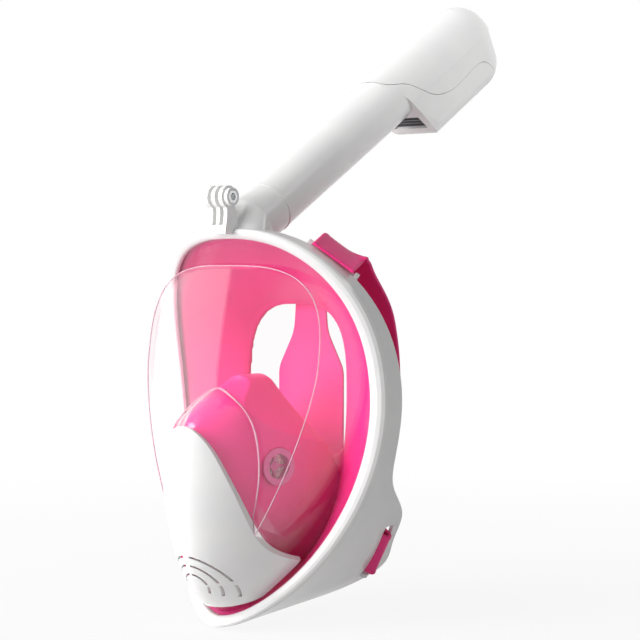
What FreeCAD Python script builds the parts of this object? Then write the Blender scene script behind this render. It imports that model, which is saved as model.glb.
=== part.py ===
"""Full face snorkel mask, in millimetres.

The front of the mask faces -Y, the wearer's left is +X and +Z is up.
The origin is the middle of the face seal.
"""
import FreeCAD, Part
import math
import os

import Sketcher

from FreeCAD import Placement, Rotation, Vector

# name, value, what it is
SIZES = [
    # frame outline, seen from the front
    ("frame_half_width", 95.4, "middle to the widest side"),
    ("frame_top", 131.0, "crown height above the origin"),
    ("frame_bottom", -134.0, "chin height"),
    ("frame_waist", 27.0, "height of the widest place"),
    ("frame_crown_power", 2.5, "squareness of the upper half"),
    ("frame_chin_power", 1.85, "squareness of the lower half"),
    ("rim_width_side", 10.8, "white band, at the sides"),
    ("rim_width_crown", 7.2, "white band, at the crown"),
    ("rim_width_chin", 7.4, "white band, at the chin"),
    # frame seen from the side
    ("rim_sweep_radius", 180.0, "curve of the rim, seen from the side"),
    ("rim_side_depth", -29.0, "Y of the rim at mid height"),
    ("rim_sweep_height", 4.0, "Z of the middle of that curve"),
    ("lip_thickness", 3.4, "front lip over the lens flange"),
    ("frame_wall", 2.8, "side wall"),
    ("parting_depth", 8.0, "rim front to the parting line"),
    ("shelf_depth", 10.4, "rim front to the inner shelf"),
    ("shelf_thickness", 2.2, "inner shelf that backs the skirt bead"),
    ("rear_flare", 0.6, "how much wider the wall is at its rear edge"),
    ("jaw_rise", 6.0, "how much the underside climbs to the rear"),
    ("waist_edge_depth", -8.0, "Y of the rear edge at mid height"),
    ("crown_edge_lead", 55.0, "how far the crown's rear edge is in front of that"),
    ("jaw_lobe_depth", 41.0, "how far the jaw lobe reaches behind that"),
    ("jaw_lobe_top", -32.0, "Z where the jaw lobe begins"),
    ("chin_relief", 40.0, "half width of the neck cut-out in the underside"),
    ("chin_edge_depth", -30.0, "Y of the rear edge under the chin"),
    # lens
    ("lens_wall", 2.4, "polycarbonate"),
    ("lens_flange", 2.0, "edge flange under the lip"),
    ("lens_flange_gap", 0.3, "lip to flange, and flange to skirt bead"),
    ("visor_half_width", 74.5, "front panel, middle to side crease"),
    ("visor_top", 105.0, "front panel upper crease"),
    ("visor_bottom", -112.0, "front panel lower end, inside the snout"),
    ("visor_waist", 38.0, "height of the panel's widest place"),
    ("visor_crown_power", 3.1, "squareness of the panel's top"),
    ("visor_chin_power", 1.45, "squareness of the panel's lower half"),
    ("visor_draft", 0.15, "spread of the visor wall for each mm of depth"),
    ("visor_chin_draft", 0.45, "the same for its lower end"),
    ("visor_base_depth", -80.0, "Y at which the panel outline is measured"),
    ("visor_depth", -87.8, "Y of the panel at the origin's height"),
    ("visor_lean", 0.085, "panel slope, top further back"),
    ("visor_bow", 0.00048, "panel curve, seen from the side"),
    ("visor_belly", 0.002, "panel curve, seen from above"),
    ("snout_depth", -124.0, "Y of the snout's foremost point"),
    ("window_gap", 0.6, "rim's inner edge to the snout"),
    # chin cover and purge valve
    ("cover_wall", 2.2, "cover thickness"),
    ("cover_gap", 0.5, "cover to lens"),
    ("cover_top", 2.0, "Z of the cover's apex"),
    ("cover_half_width", 44.0, "middle to the cover's lower corner"),
    ("cover_corner", -89.0, "Z of that corner"),
    ("cover_bottom", -119.5, "Z of the cover's lower edge"),
    ("vent_centre", -104.0, "Z of the vent arcs' centre"),
    ("vent_radius", 8.5, "innermost vent arc"),
    ("vent_pitch", 6.0, "one arc to the next"),
    ("vent_width", 1.4, "slot width"),
    ("vent_rows", 3, "number of arcs"),
    ("purge_height", -90.0, "Z of the purge valve's centre"),
    ("purge_setback", 9.0, "cover's outside to the flat valve boss"),
    ("purge_tilt", 22.0, "valve axis below the horizontal, in degrees"),
    ("purge_radius", 11.0, "valve seat, outside"),
    ("purge_flap_travel", 1.5, "how far the disc lifts"),
    ("purge_seat_length", 5.0, "valve seat along its axis"),
    ("flap_thickness", 1.0, "silicone flaps"),
    ("valve_clearance", 0.3, "round a valve seat"),
    ("valve_ring", 2.6, "valve seat ring, inside to outside"),
    ("valve_flange", 1.4, "flange beyond the ring"),
    ("valve_recess", 1.5, "wall's outside to the sealing face"),
    ("valve_hub", 3.0, "hub of the valve seat, its radius"),
    ("spoke_width", 1.6, "spokes of the valve seat"),
    ("spoke_setback", 1.2, "seat's inner end to the spokes"),
    ("stem_radius", 1.3, "flap's stem"),
    ("stem_clearance", 0.3, "stem to hub"),
    ("flap_gap", 0.1, "flap to sealing face"),
    # skirt and nose pocket
    ("silicone_wall", 2.2, "skirt and pocket thickness"),
    ("face_half_width", 43.5, "face opening, middle to side"),
    ("face_top", 79.0, "face opening, upper edge"),
    ("face_bottom", -98.0, "face opening, lower edge"),
    ("face_waist", 20.0, "height of the opening's widest place"),
    ("face_crown_power", 3.0, "squareness of the opening's upper half"),
    ("face_lip", 3.0, "turned-in lip that meets the face"),
    ("pocket_top", 33.0, "Z of the roof's ridge over the nose"),
    ("pocket_roof_slope", 55.0, "roof's fall to the cheeks, in degrees"),
    ("pocket_roof_round", 15.0, "rounding of the ridge"),
    ("pocket_gap", 2.6, "lens to nose pocket"),
    ("pocket_power", 1.7, "roundness of the pocket's front, 2 is an ellipse"),
    ("pocket_clearance", 0.3, "pocket to the skirt's lip"),
    ("inhale_height", -27.0, "Z of the inhale valves"),
    ("inhale_depth", -60.0, "Y of the inhale valves"),
    ("inhale_radius", 11.0, "inhale valve seat, outside"),
    ("inhale_seat_length", 5.0, "inhale valve seat along its axis"),
    # snorkel
    ("tube_tilt", 58.7, "snorkel axis back from the vertical, in degrees"),
    ("socket_depth", -60.5, "Y where the snorkel axis crosses the crown"),
    ("socket_height", 130.0, "Z of that place"),
    ("tube_radius_wide", 20.0, "oval tube at the collar, half its width"),
    ("tube_radius_deep", 18.6, "oval tube at the collar, half its depth"),
    ("tube_taper", 1.1, "how much wider the tube is at its top, on the radius"),
    ("tube_wall", 2.4, "tube and collar"),
    ("collar_length", 29.0, "collar along the snorkel axis"),
    ("hub_radius_wide", 24.0, "foot of the collar, half its width"),
    ("hub_radius_deep", 20.0, "foot of the collar, half its depth"),
    ("hub_tilt", 22.0, "foot of the collar back from the vertical, in degrees"),
    ("hub_depth", -58.0, "Y of the foot's middle"),
    ("hub_height", 122.0, "Z of the foot's middle"),
    ("ring_length", 1.4, "ring between collar and tube"),
    ("ring_step", 0.4, "how far the ring stands out"),
    ("seam_gap", 0.15, "collar to ring"),
    ("spigot_length", 20.0, "tube end inside the collar"),
    ("spigot_clearance", 0.3, "spigot to collar bore"),
    ("gasket_radius", 1.3, "gasket cord, half its thickness"),
    ("gasket_clearance", 0.1, "gasket to collar bore"),
    ("snorkel_pull", 24.0, "how far the snorkel lifts out of the collar"),
    ("tube_top", 168.0, "snorkel axis length to the head"),
    ("channel_half_width", 7.0, "middle air channel inside the tube"),
    ("channel_wall", 1.4, "walls of that channel"),
    ("head_top", 321.0, "snorkel axis length to the head's end"),
    ("head_half_width", 22.4, "head, middle to the crease along its side"),
    ("head_front", 21.2, "axis to the head's front face"),
    ("head_front_round", 33.0, "front to rear reach of the elliptical front"),
    ("head_facet", 4.0, "axis to the crease between round front and flat side"),
    ("head_bulge", 42.8, "axis to the head's rear face"),
    ("head_side_draft", 0.9, "how much narrower the head is at its rear face, each side"),
    ("head_corner", 11.0, "rounding of the rear corners"),
    ("head_neck_end", 215.0, "snorkel axis length where the round neck ends inside the head"),
    ("neck_end_wide", 19.8, "half its width there"),
    ("neck_end_deep", 19.4, "half its depth there"),
    ("head_end_round", 32.0, "height of the domed end"),
    ("belly_angle", 50.0, "slope of the bulge's belly, in degrees"),
    ("belly_height", 211.0, "snorkel axis length to the belly at the rear face"),
    ("belly_round", 23.0, "height over which the sides turn in to the belly"),
    ("belly_turn", 3.4, "how far the sides turn in there"),
    ("scoop_low", 196.0, "snorkel axis length to the underside, at the tube"),
    ("scoop_high", 209.0, "the same at the rear face"),
    ("scoop_round", 12.0, "rounding of the bulge's lower rear corner"),
    ("head_wall", 2.2, "head shells"),
    ("seam_width", 0.3, "line between head base and cap"),
    ("intake_half_width", 15.0, "intake under the head, half its width"),
    ("intake_start", 1.5, "tube to intake, along the slanted underside"),
    ("intake_length", 14.5, "intake along the slanted underside"),
    ("intake_bars", 4, "openings of the intake grille"),
    ("grille_thickness", 1.6, "intake grille"),
    ("grille_margin", 1.2, "grille beyond the opening, on each side"),
    ("grille_clearance", 0.2, "grille to the head's wall"),
    # float valve
    ("float_offset", 25.0, "snorkel axis to the float's axis"),
    ("float_radius", 11.0, "float"),
    ("float_length", 24.0, "float along the axis"),
    ("float_base", 236.0, "snorkel axis length to the float at rest"),
    ("float_travel", 7.0, "float's lift"),
    ("float_clearance", 0.6, "float to its cage"),
    ("seal_thickness", 1.2, "silicone seal on the float"),
    ("port_radius", 7.5, "airway port that the float closes"),
    ("port_plate", 2.0, "plate with that port"),
    ("cage_wall", 1.6, "float cage"),
    ("cage_slots", 6, "slots round the float cage"),
    ("cage_floor", 1.6, "cage floor"),
    # camera mount
    ("mount_ear_radius", 7.5, "camera mount ears"),
    ("mount_bore_radius", 2.5, "bolt hole through the ears"),
    ("mount_ear_thickness", 3.1, "each of three ears"),
    ("mount_ear_gap", 3.2, "between two ears"),
    ("mount_height", 20.5, "crown to bolt axis"),
    ("mount_lean", 2.6, "bolt axis in front of the foot's middle"),
    ("mount_depth", -79.0, "Y of the foot's middle"),
    ("mount_foot_depth", 13.0, "foot, front to rear"),
    ("mount_neck_depth", 9.5, "stalk at its narrowest, front to rear"),
    ("mount_foot", 2.0, "crown to the bottom of the gaps between the ears"),
    ("nut_across_flats", 8.0, "nut in the outer ear"),
    ("nut_thickness", 3.6, "nut"),
    ("nut_clearance", 0.15, "nut to its pocket"),
    ("boss_length", 3.4, "nut boss beyond the outer ear"),
    # straps
    ("strap_thickness", 2.0, "strap"),
    ("strap_gap", 0.3, "strap to what it lies against"),
    ("upper_strap_width", 33.0, "upper strap"),
    ("lower_strap_width", 30.0, "lower strap"),
    ("bar_radius", 2.0, "upper strap bars"),
    ("pin_radius", 1.6, "lower strap pins"),
    ("lug_length", 3.0, "length of each boss that holds a bar's end"),
    ("lug_radius", 3.6, "lugs that carry the bars and pins"),
    ("bar_upper_angle", 61.5, "upper end of the bar, round the outline, in degrees"),
    ("bar_lower_angle", 42.5, "lower end of the bar, round the outline, in degrees"),
    ("slot_width", 9.5, "strap slot in the jaw lobe, front to rear"),
    ("slot_length", 35.0, "strap slot, along the lobe"),
    ("slot_depth", 13.0, "Y of the slot's middle"),
    ("slot_height", -88.0, "Z of the slot's middle"),
    ("slot_lean", 10.0, "slot's lean from the vertical, in degrees"),
    ("pad_half_width", 29.0, "strap pad behind the head"),
    ("pad_top_half_width", 13.0, "strap pad at its upper end"),
    ("pad_top", 86.0, "strap pad, upper end"),
    ("pad_bottom", -78.0, "strap pad, lower end"),
    ("pad_depth", 12.0, "Y of the strap pad's front"),
]

# heights along the snout, with the centre line's depth from its foremost
# point and the sharpness of the section there
SNOUT = [
    (-126.0, 49.0, 0.050),
    (-115.0, 27.0, 0.045),
    (-100.0, 15.0, 0.038),
    (-82.0, 7.5, 0.028),
    (-60.0, 2.5, 0.023),
    (-35.0, 0.0, 0.0206),
    (-14.0, 1.0, 0.022),
    (2.0, 5.0, 0.026),
    (14.0, 19.0, 0.030),
    (24.0, 35.0, 0.034),
    (36.0, 56.0, 0.040),
]

STEPS = 36  # places round each outline

doc = FreeCAD.newDocument("full_face_snorkel")
sheet = doc.addObject("Spreadsheet::Sheet", "Sizes")
for row, (alias, value, note) in enumerate(SIZES, 1):
    sheet.set(f"A{row}", alias)
    sheet.set(f"B{row}", str(value))
    sheet.set(f"C{row}", note)
    sheet.setAlias(f"B{row}", alias)
doc.recompute()


def size(alias):
    return float(sheet.get(alias))


# ---------------------------------------------------------------- outlines

def oval(angle, half_width, top, bottom, waist, crown_power, chin_power):
    """One point (x, z) of an egg whose halves have their own squareness."""
    across = abs(math.cos(angle)) / half_width
    upper = math.sin(angle) >= 0
    power = crown_power if upper else chin_power
    along = abs(math.sin(angle)) / (top - waist if upper else waist - bottom)
    reach = (across ** power + along ** power) ** (-1 / power)
    return reach * math.cos(angle), waist + reach * math.sin(angle)


def frame_oval(angle, band=0.0, inset=0.0, flare=0.0, rise=0.0):
    """Frame outline moved in by a share of the white band and by a wall."""
    side = size("frame_half_width") + flare - inset - band * size("rim_width_side")
    top = size("frame_top") - inset - band * size("rim_width_crown")
    bottom = size("frame_bottom") + rise + inset + band * size("rim_width_chin")
    return oval(angle, side, top, bottom, size("frame_waist"),
                size("frame_crown_power"), size("frame_chin_power"))


def rim_depth(height):
    """Y of the rim, a circular sweep seen from the side."""
    radius = size("rim_sweep_radius")
    climb = height - size("rim_sweep_height")
    return size("rim_side_depth") - radius + math.sqrt(radius ** 2 - climb ** 2)


def ease(value, start, end):
    share = min(max((value - start) / (end - start), 0.0), 1.0)
    return share * share * (3 - 2 * share)


def rear_depth(across, height):
    """Y of the side wall's rear edge, with the jaw lobes and the neck cut-out."""
    waist_edge = size("waist_edge_depth")
    rise = max(height - 5, 0) / (size("frame_top") - 5)
    depth = waist_edge - size("crown_edge_lead") * rise ** 2
    lobe_top = size("jaw_lobe_top")
    lobe = 0.68 * ease(height, lobe_top, lobe_top - 34)
    lobe += 0.32 * ease(height, lobe_top - 30, lobe_top - 85)
    depth += size("jaw_lobe_depth") * lobe
    if height < 0:
        side = ease(abs(across), 0.3 * size("chin_relief"), size("chin_relief"))
        depth = size("chin_edge_depth") + (depth - size("chin_edge_depth")) * side
    return depth


def around(place):
    """Points all the way round from a function of the angle, starting at the chin."""
    angles = [2 * math.pi * i / STEPS - math.pi / 2 for i in range(STEPS)]
    return [Vector(*place(angle)) for angle in angles]


def closed_curve(points):
    """Left and right half of a smooth closed curve that starts at the chin."""
    half = len(points) // 2
    halves = []
    for run in (points[:half + 1], points[half:] + points[:1]):
        curve = Part.BSplineCurve()
        curve.interpolate(Points=run, Parameters=[float(i) for i in range(half + 1)])
        halves.append(curve.toShape())
    return halves


def ring_solid(loops):
    """Solid ring whose section has one corner on each closed loop."""
    curves = [closed_curve(points) for points in loops]
    faces = []
    for i, curve in enumerate(curves):
        faces += [Part.makeRuledSurface(*pair) for pair in zip(curves[i - 1], curve)]
    shell = Part.makeShell(faces)
    shell.sewShape()
    solid = Part.makeSolid(Part.makeShell(shell.Faces))
    if solid.Volume < 0:
        solid.reverse()
    return solid


def ruled_block(*curves):
    """Solid through closed flat curves, joined place by place."""
    return Part.makeLoft([Part.Wire(curve) for curve in curves], True, True)


def rim_loop(band, setback, inset=0.0):
    """Loop that follows the rim, some way in and some way behind it."""
    def place(angle):
        x, z = frame_oval(angle, band, inset)
        return x, rim_depth(z) + setback, z
    return around(place)


def rear_loop(inset=0.0):
    """Loop along the rear edge of the side wall."""
    def place(angle):
        x, z = frame_oval(angle, 0.0, inset, size("rear_flare"), size("jaw_rise"))
        return x, rear_depth(x, z), z
    return around(place)


def rounded_outline(corners, place):
    """Closed flat wire whose corners (u, v, radius) are rounded; place maps u and v."""
    count = len(corners)
    points = [Vector(u, v, 0) for u, v, _ in corners]
    starts, middles, ends = [], [], []
    for i in range(count):
        before = (points[i - 1] - points[i]).normalize()
        after = (points[(i + 1) % count] - points[i]).normalize()
        half = before.getAngle(after) / 2
        radius = corners[i][2]
        inward = (before + after).normalize()
        starts.append(points[i] + before * (radius / math.tan(half)))
        middles.append(points[i] + inward * (radius / math.sin(half) - radius))
        ends.append(points[i] + after * (radius / math.tan(half)))
    edges = []
    for i in range(count):
        arc = [place(point.x, point.y) for point in (starts[i], middles[i], ends[i])]
        edges.append(Part.Arc(*arc).toShape())
        following = starts[(i + 1) % count]
        edges.append(Part.makeLine(arc[2], place(following.x, following.y)))
    return Part.Wire(edges)


# ------------------------------------------------------------------ pieces

def add_feature(name, shape, placement=None):
    """Sub-part whose shape is computed; it is written under its label."""
    piece = doc.addObject("Part::Feature", name)
    piece.Label = name
    piece.Shape = shape
    piece.Placement = placement if placement else Placement()
    return piece


def tube_frame():
    """Placement whose Z runs up the snorkel and whose Y points down behind it."""
    base = Vector(0, size("socket_depth"), size("socket_height"))
    return Placement(base, Rotation(Vector(1, 0, 0), -size("tube_tilt")))


def oval_bar(radius_wide, radius_deep, start, end):
    """Oval bar along Z between two heights."""
    ellipse = Part.Ellipse(Vector(0, 0, start), radius_wide, radius_deep)
    face = Part.Face(Part.Wire([ellipse.toShape()]))
    return face.extrude(Vector(0, 0, end - start))


def slab(x0, x1, y0, y1, z0, z1):
    return Part.makeBox(x1 - x0, y1 - y0, z1 - z0, Vector(x0, y0, z0))


def front_section(back):
    """Section of the white band as shares of its width and setbacks from the rim."""
    parting = size("parting_depth")
    section = [(1.0, 0.9), (0.92, 0.2), (0.72, 0.0), (0.45, 0.6), (0.22, 2.1), (0.07, 4.2),
               (0.0, 0.85 * parting)]
    if back:
        return section + [(0.0, back), (1.0, back)]
    wall = size("frame_wall") / size("rim_width_side")
    lip = size("lip_thickness")
    return section + [(0.0, parting), (wall, parting), (wall, lip), (1.0, lip)]


def front_frame():
    return ring_solid([rim_loop(band, setback) for band, setback in front_section(0.0)])


def frame_block(back):
    """The white band as a solid ring down to a setback from the rim."""
    return ring_solid([rim_loop(band, setback) for band, setback in front_section(back)])


def oval_edge(radius_wide, radius_deep, height, placement):
    """Oval across the Z axis of a placement."""
    def place(angle):
        return radius_wide * math.cos(angle), radius_deep * math.sin(angle), height

    return closed_curve([placement.multVec(point) for point in around(place)])


def rim_sweep(setback):
    """Solid in front of the surface that follows the rim at a setback."""
    radius = size("rim_sweep_radius")
    centre = Vector(-200, size("rim_side_depth") - radius + setback, size("rim_sweep_height"))
    return Part.makeCylinder(radius, 400, centre, Vector(1, 0, 0))


def collar(inset, overrun):
    """Snorkel collar: an oval socket whose foot bends down into the crown."""
    wide = size("tube_radius_wide") - inset
    deep = size("tube_radius_deep") - inset
    bend = size("collar_length") - size("spigot_length") - 1.0
    mouth = oval_edge(wide, deep, size("collar_length") + overrun, tube_frame())
    neck = oval_edge(wide, deep, bend, tube_frame())
    hub = Placement(Vector(0, size("hub_depth"), size("hub_height")),
                    Rotation(Vector(1, 0, 0), -size("hub_tilt")))
    foot = oval_edge(size("hub_radius_wide") - inset, size("hub_radius_deep") - inset, -overrun, hub)
    return ruled_block(foot, neck, mouth)


def edge_point(degrees, inset):
    """Place on the rear edge of the side wall, by its angle round the outline."""
    x, z = frame_oval(math.radians(degrees), 0.0, inset, size("rear_flare"), size("jaw_rise"))
    return Vector(x, rear_depth(x, z), z)


def bar_ends():
    """Ends of the left upper strap bar, just behind the side wall."""
    back = Vector(0, size("bar_radius") + 1.0, 0)
    inset = size("frame_wall") / 2
    return [edge_point(size(name), inset) + back for name in ("bar_upper_angle", "bar_lower_angle")]


def slot_place(side):
    middle = Vector(side * 60, size("slot_depth"), size("slot_height"))
    return Placement(middle, Rotation(Vector(1, 0, 0), size("slot_lean")))


def pin_ends():
    """Ends of the left lower strap pin, inside the jaw lobe."""
    ends = []
    for reach in (1, -1):
        place = slot_place(1).multVec(Vector(0, 0, reach * (size("slot_length") / 2 + 1.5)))
        x = wall_half_width(place.z) - size("frame_wall") - 0.7 * size("lug_radius")
        ends.append(Vector(x, place.y, place.z))
    return ends


def wall_half_width(height):
    """Half width of the side wall's outside at a height below the waist."""
    drop = (size("frame_waist") - height) / (size("frame_waist") - size("frame_bottom"))
    power = size("frame_chin_power")
    return size("frame_half_width") * (1 - drop ** power) ** (1 / power)


def rod(ends, radius, side):
    """Round rod between two points given for the left side."""
    first, last = [Vector(side * end.x, end.y, end.z) for end in ends]
    return Part.makeCylinder(radius, (last - first).Length, first, last - first)


def lugs(ends, side):
    """Short bosses on the wall that hold the ends of a bar."""
    first, last = [Vector(side * end.x, end.y, end.z) for end in ends]
    along = (last - first).normalize()
    length = size("lug_length")
    radius = size("lug_radius")
    return [Part.makeCylinder(radius, length, first - along * 1.0, along),
            Part.makeCylinder(radius, length, last - along * (length - 1.0), along)]


def rear_frame():
    wall = size("frame_wall") / size("rim_width_side")
    shelf = size("shelf_depth")
    back = shelf + size("shelf_thickness")
    parting = size("parting_depth")
    loops = [rim_loop(0.0, parting), rear_loop(), rear_loop(size("frame_wall")),
             rim_loop(wall, back), rim_loop(0.95, back), rim_loop(0.95, shelf),
             rim_loop(wall, shelf), rim_loop(wall, parting)]
    body = ring_solid(loops)
    body = body.fuse(collar(0.0, 0.0).cut(frame_block(parting)).cut(bead_channel()))
    for side in (1, -1):
        body = body.fuse(lugs(bar_ends(), side) + lugs(pin_ends(), side))
    body = body.cut(collar(size("tube_wall"), 4.0))
    for side in (1, -1):
        body = body.cut(jaw_slot(side))
        body = body.cut(rod(bar_ends(), size("bar_radius"), side))
        body = body.cut(rod(pin_ends(), size("pin_radius"), side))
    return body


def bead_channel():
    """Space for the skirt's bead between lens flange and shelf."""
    front = size("parting_depth") - 0.5
    back = size("shelf_depth")
    return ring_solid([rim_loop(band, setback)
                       for band, setback in ((0.36, front), (0.36, back), (1.3, back), (1.3, front))])


def jaw_slot(side):
    length = size("slot_length")
    width = size("slot_width")
    box = slab(-25, 25, -width / 2, width / 2, -length / 2, length / 2)
    box.Placement = slot_place(side)
    return box


def visor_depth(x, z, inset):
    flat = size("visor_depth") + size("visor_lean") * z
    return flat + size("visor_bow") * z * z + size("visor_belly") * x * x + inset


def visor_oval(angle, depth, inset):
    """Visor outline at a depth, with the draft of its wall."""
    back = depth - size("visor_base_depth")
    spread = size("visor_draft") * back - inset
    lower = size("visor_chin_draft") * back - inset
    return oval(angle, size("visor_half_width") + spread, size("visor_top") + spread,
                size("visor_bottom") - lower, size("visor_waist"),
                size("visor_crown_power"), size("visor_chin_power"))


def visor_loop(depth, inset):
    def place(angle):
        x, z = visor_oval(angle, depth, inset)
        return x, depth, z
    return around(place)


def visor_solid(inset):
    """Drafted visor block with its bowed front panel."""
    ends = [closed_curve(visor_loop(depth, inset)) for depth in (-130.0, 20.0)]
    block = ruled_block(*ends)
    grid = [[Vector(x, visor_depth(x, z, inset), z) for z in range(-150, 151, 50)]
            for x in range(-120, 121, 60)]
    panel = Part.BSplineSurface()
    panel.interpolate(grid)
    return block.cut(panel.toShape().extrude(Vector(0, -90, 0)))


def snout_solid(inset):
    """Snout, lofted through bowed sections from the chin up to the bridge."""
    rear = -8.0
    wires = []
    for height, setback, sharpness in SNOUT:
        bow = sharpness / (1 - 2 * sharpness * inset)
        front = size("snout_depth") + setback + inset
        reach = math.sqrt((rear - front) / bow)
        points = []
        for i in range(-4, 5):
            x = reach * i / 4
            points.append(Vector(x, front + bow * x * x, height))
        curve = Part.BSplineCurve()
        curve.interpolate(Points=points, Parameters=[float(i) for i in range(9)])
        wires.append(Part.Wire([curve.toShape(), Part.makeLine(points[-1], points[0])]))
    return Part.makeLoft(wires, True, False)


def purge_frame():
    """Placement on the flat valve boss, Z pointing out of the mask."""
    height = size("purge_height")
    below = max(entry for entry in SNOUT if entry[0] <= height)
    above = min(entry for entry in SNOUT if entry[0] > height)
    share = (height - below[0]) / (above[0] - below[0])
    setback = below[1] + share * (above[1] - below[1])
    depth = size("snout_depth") + setback + size("purge_setback")
    return Placement(Vector(0, depth, height), Rotation(Vector(1, 0, 0), 90 + size("purge_tilt")))


def behind_boss(inset):
    """Half space behind the flat valve boss."""
    box = slab(-150, 150, -150, 300, -300, -inset)
    box.Placement = purge_frame()
    return box


def rim_space(band, setback, gap):
    """Space inside the rim's inner edge and in front of a swept surface."""
    def place(angle):
        x, z = frame_oval(angle, band, gap)
        return x, -160.0, z

    prism = Part.Face(Part.Wire(closed_curve(around(place)))).extrude(Vector(0, 200, 0))
    return prism.common(rim_sweep(setback))


def lens_body(inset):
    """Visor and snout, with the visor kept clear of the chin cover."""
    snout = snout_solid(inset + size("cover_wall") + size("cover_gap"))
    under_cover = Part.Face(cover_outline(size("cover_gap") + inset)).extrude(Vector(0, 100, 0))
    body = visor_solid(inset).cut(under_cover.cut(snout)).fuse(snout)
    return body.common(behind_boss(inset))


def lens():
    front = size("lip_thickness") + size("lens_flange_gap")
    back = front + size("lens_flange")
    outer = lens_body(0.0).common(rim_space(1.0, back, size("window_gap")))
    plate = rim_space(0.4, back, 0.0).cut(rim_sweep(front))
    hollow = lens_body(size("lens_wall")).common(rim_space(0.35, back + 20.0, 0.0))
    body = outer.fuse(plate).cut(hollow)
    hole = Part.makeCylinder(size("purge_radius") + size("valve_clearance"), 40, Vector(0, 0, -20))
    hole.Placement = purge_frame()
    return body.cut(hole)


def cover_outline(grow):
    """Closed wire round the chin cover: an arched top and a chin that follows the rim."""
    half = size("cover_half_width") + grow
    top = size("cover_top") + grow
    corner = size("cover_corner")
    bottom = size("cover_bottom") - grow
    side = [(0.24, 0.04), (0.54, 0.24), (0.72, 0.5), (0.80, 0.75), (0.88, 0.92), (1.0, 1.0)]
    chin = [(0.77, 0.54), (0.39, 0.94)]
    right = [(half * x, top + (corner - top) * z) for x, z in side]
    lower = [(half * x, corner + (bottom - corner) * z) for x, z in chin]
    arch = [(-x, z) for x, z in reversed(right)] + [(0.0, top)] + right
    under = [right[-1]] + lower + [(0.0, bottom)] + [(-x, z) for x, z in reversed(lower)] + [arch[0]]
    edges = []
    for run in (arch, under):
        curve = Part.BSplineCurve()
        curve.interpolate(Points=[Vector(x, -160.0, z) for x, z in run])
        edges.append(curve.toShape())
    return Part.Wire(edges)


def arc_slot(radius, start, end):
    """Arc-shaped slot, cut from front to rear; angles in degrees from the left side."""
    middle = Vector(0, -160.0, size("vent_centre"))
    half = size("vent_width") / 2
    corners = []
    for reach in (radius - half, radius + half):
        for degrees in (start, (start + end) / 2, end):
            turn = math.radians(degrees)
            corners.append(middle + Vector(reach * math.cos(turn), 0, reach * math.sin(turn)))
    inner = Part.Arc(*corners[:3]).toShape()
    outer = Part.Arc(*corners[3:]).toShape()
    wire = Part.Wire([inner, Part.makeLine(corners[2], corners[5]), outer,
                      Part.makeLine(corners[3], corners[0])])
    return Part.Face(wire).extrude(Vector(0, 80, 0))


def chin_cover():
    prism = Part.Face(cover_outline(0.0)).extrude(Vector(0, 150, 0))
    shell = snout_solid(0.0).cut(snout_solid(size("cover_wall")))
    body = shell.common(prism).common(rim_space(1.0, size("lip_thickness"), size("window_gap")))
    for row in range(int(size("vent_rows"))):
        radius = size("vent_radius") + row * size("vent_pitch")
        for start, end in ((10, 83), (-34 + 6 * row, 2)):
            for slot in (arc_slot(radius, start, end), arc_slot(radius, 180 - end, 180 - start)):
                body = body.cut(slot)
    return max(body.Solids, key=lambda solid: solid.Volume)


def new_body(name, placement):
    body = doc.addObject("PartDesign::Body", name)
    body.Label = name
    body.Placement = placement
    return body


def new_sketch(body, name, role):
    """Sketch on one of its own body's origin planes."""
    sketch = body.newObject("Sketcher::SketchObject", name)
    plane = [item for item in body.Origin.OriginFeatures if item.Role == role][0]
    sketch.AttachmentSupport = [(plane, "")]
    sketch.MapMode = "FlatFace"
    return sketch


def polygon(sketch, corners):
    """Closed polygon whose corners are expressions on the sheet."""
    first = sketch.GeometryCount
    places = [Vector(sketch.evalExpression(x), sketch.evalExpression(y), 0) for x, y in corners]
    count = len(corners)
    for i in range(count):
        sketch.addGeometry(Part.LineSegment(places[i], places[(i + 1) % count]), False)
    for i in range(count):
        here = first + i
        sketch.addConstraint(Sketcher.Constraint("Coincident", here, 2, first + (i + 1) % count, 1))
    for i, (x, y) in enumerate(corners):
        for kind, value, expression in (("DistanceX", places[i].x, x), ("DistanceY", places[i].y, y)):
            name = sketch.addConstraint(Sketcher.Constraint(kind, -1, 1, first + i, 1, value))
            sketch.setExpression(f"Constraints[{name}]", expression)


def revolve(body, name, profiles):
    """Solid of revolution about the body's Z axis from polygons of radius and height."""
    sketch = new_sketch(body, name + "_profile", "XZ_Plane")
    for corners in profiles:
        polygon(sketch, corners)
    turn = body.newObject("PartDesign::Revolution", name)
    turn.Profile = sketch
    turn.ReferenceAxis = (sketch, ["V_Axis"])
    turn.Angle = 360
    sketch.Visibility = False
    return turn


def box_profile(inner, outer, low, high):
    return [(inner, low), (outer, low), (outer, high), (inner, high)]


def pad(body, name, role, corners, length):
    sketch = new_sketch(body, name + "_profile", role)
    polygon(sketch, corners)
    feature = body.newObject("PartDesign::Pad", name)
    feature.Profile = sketch
    feature.setExpression("Length", length)
    return feature


def spokes(body, seat_inside, low, high, count):
    """Spokes from the hub to the ring of a valve seat."""
    corners = [("Sizes.valve_hub", low), (seat_inside, low), (seat_inside, high), ("Sizes.valve_hub", high)]
    spoke = pad(body, "spoke", "XZ_Plane", corners, "Sizes.spoke_width")
    spoke.Midplane = True
    pattern = body.newObject("PartDesign::PolarPattern", "spokes")
    pattern.Originals = [spoke]
    pattern.Axis = (spoke.Profile[0], ["V_Axis"])
    pattern.Angle = 360
    pattern.Occurrences = count
    body.Tip = pattern


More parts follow.
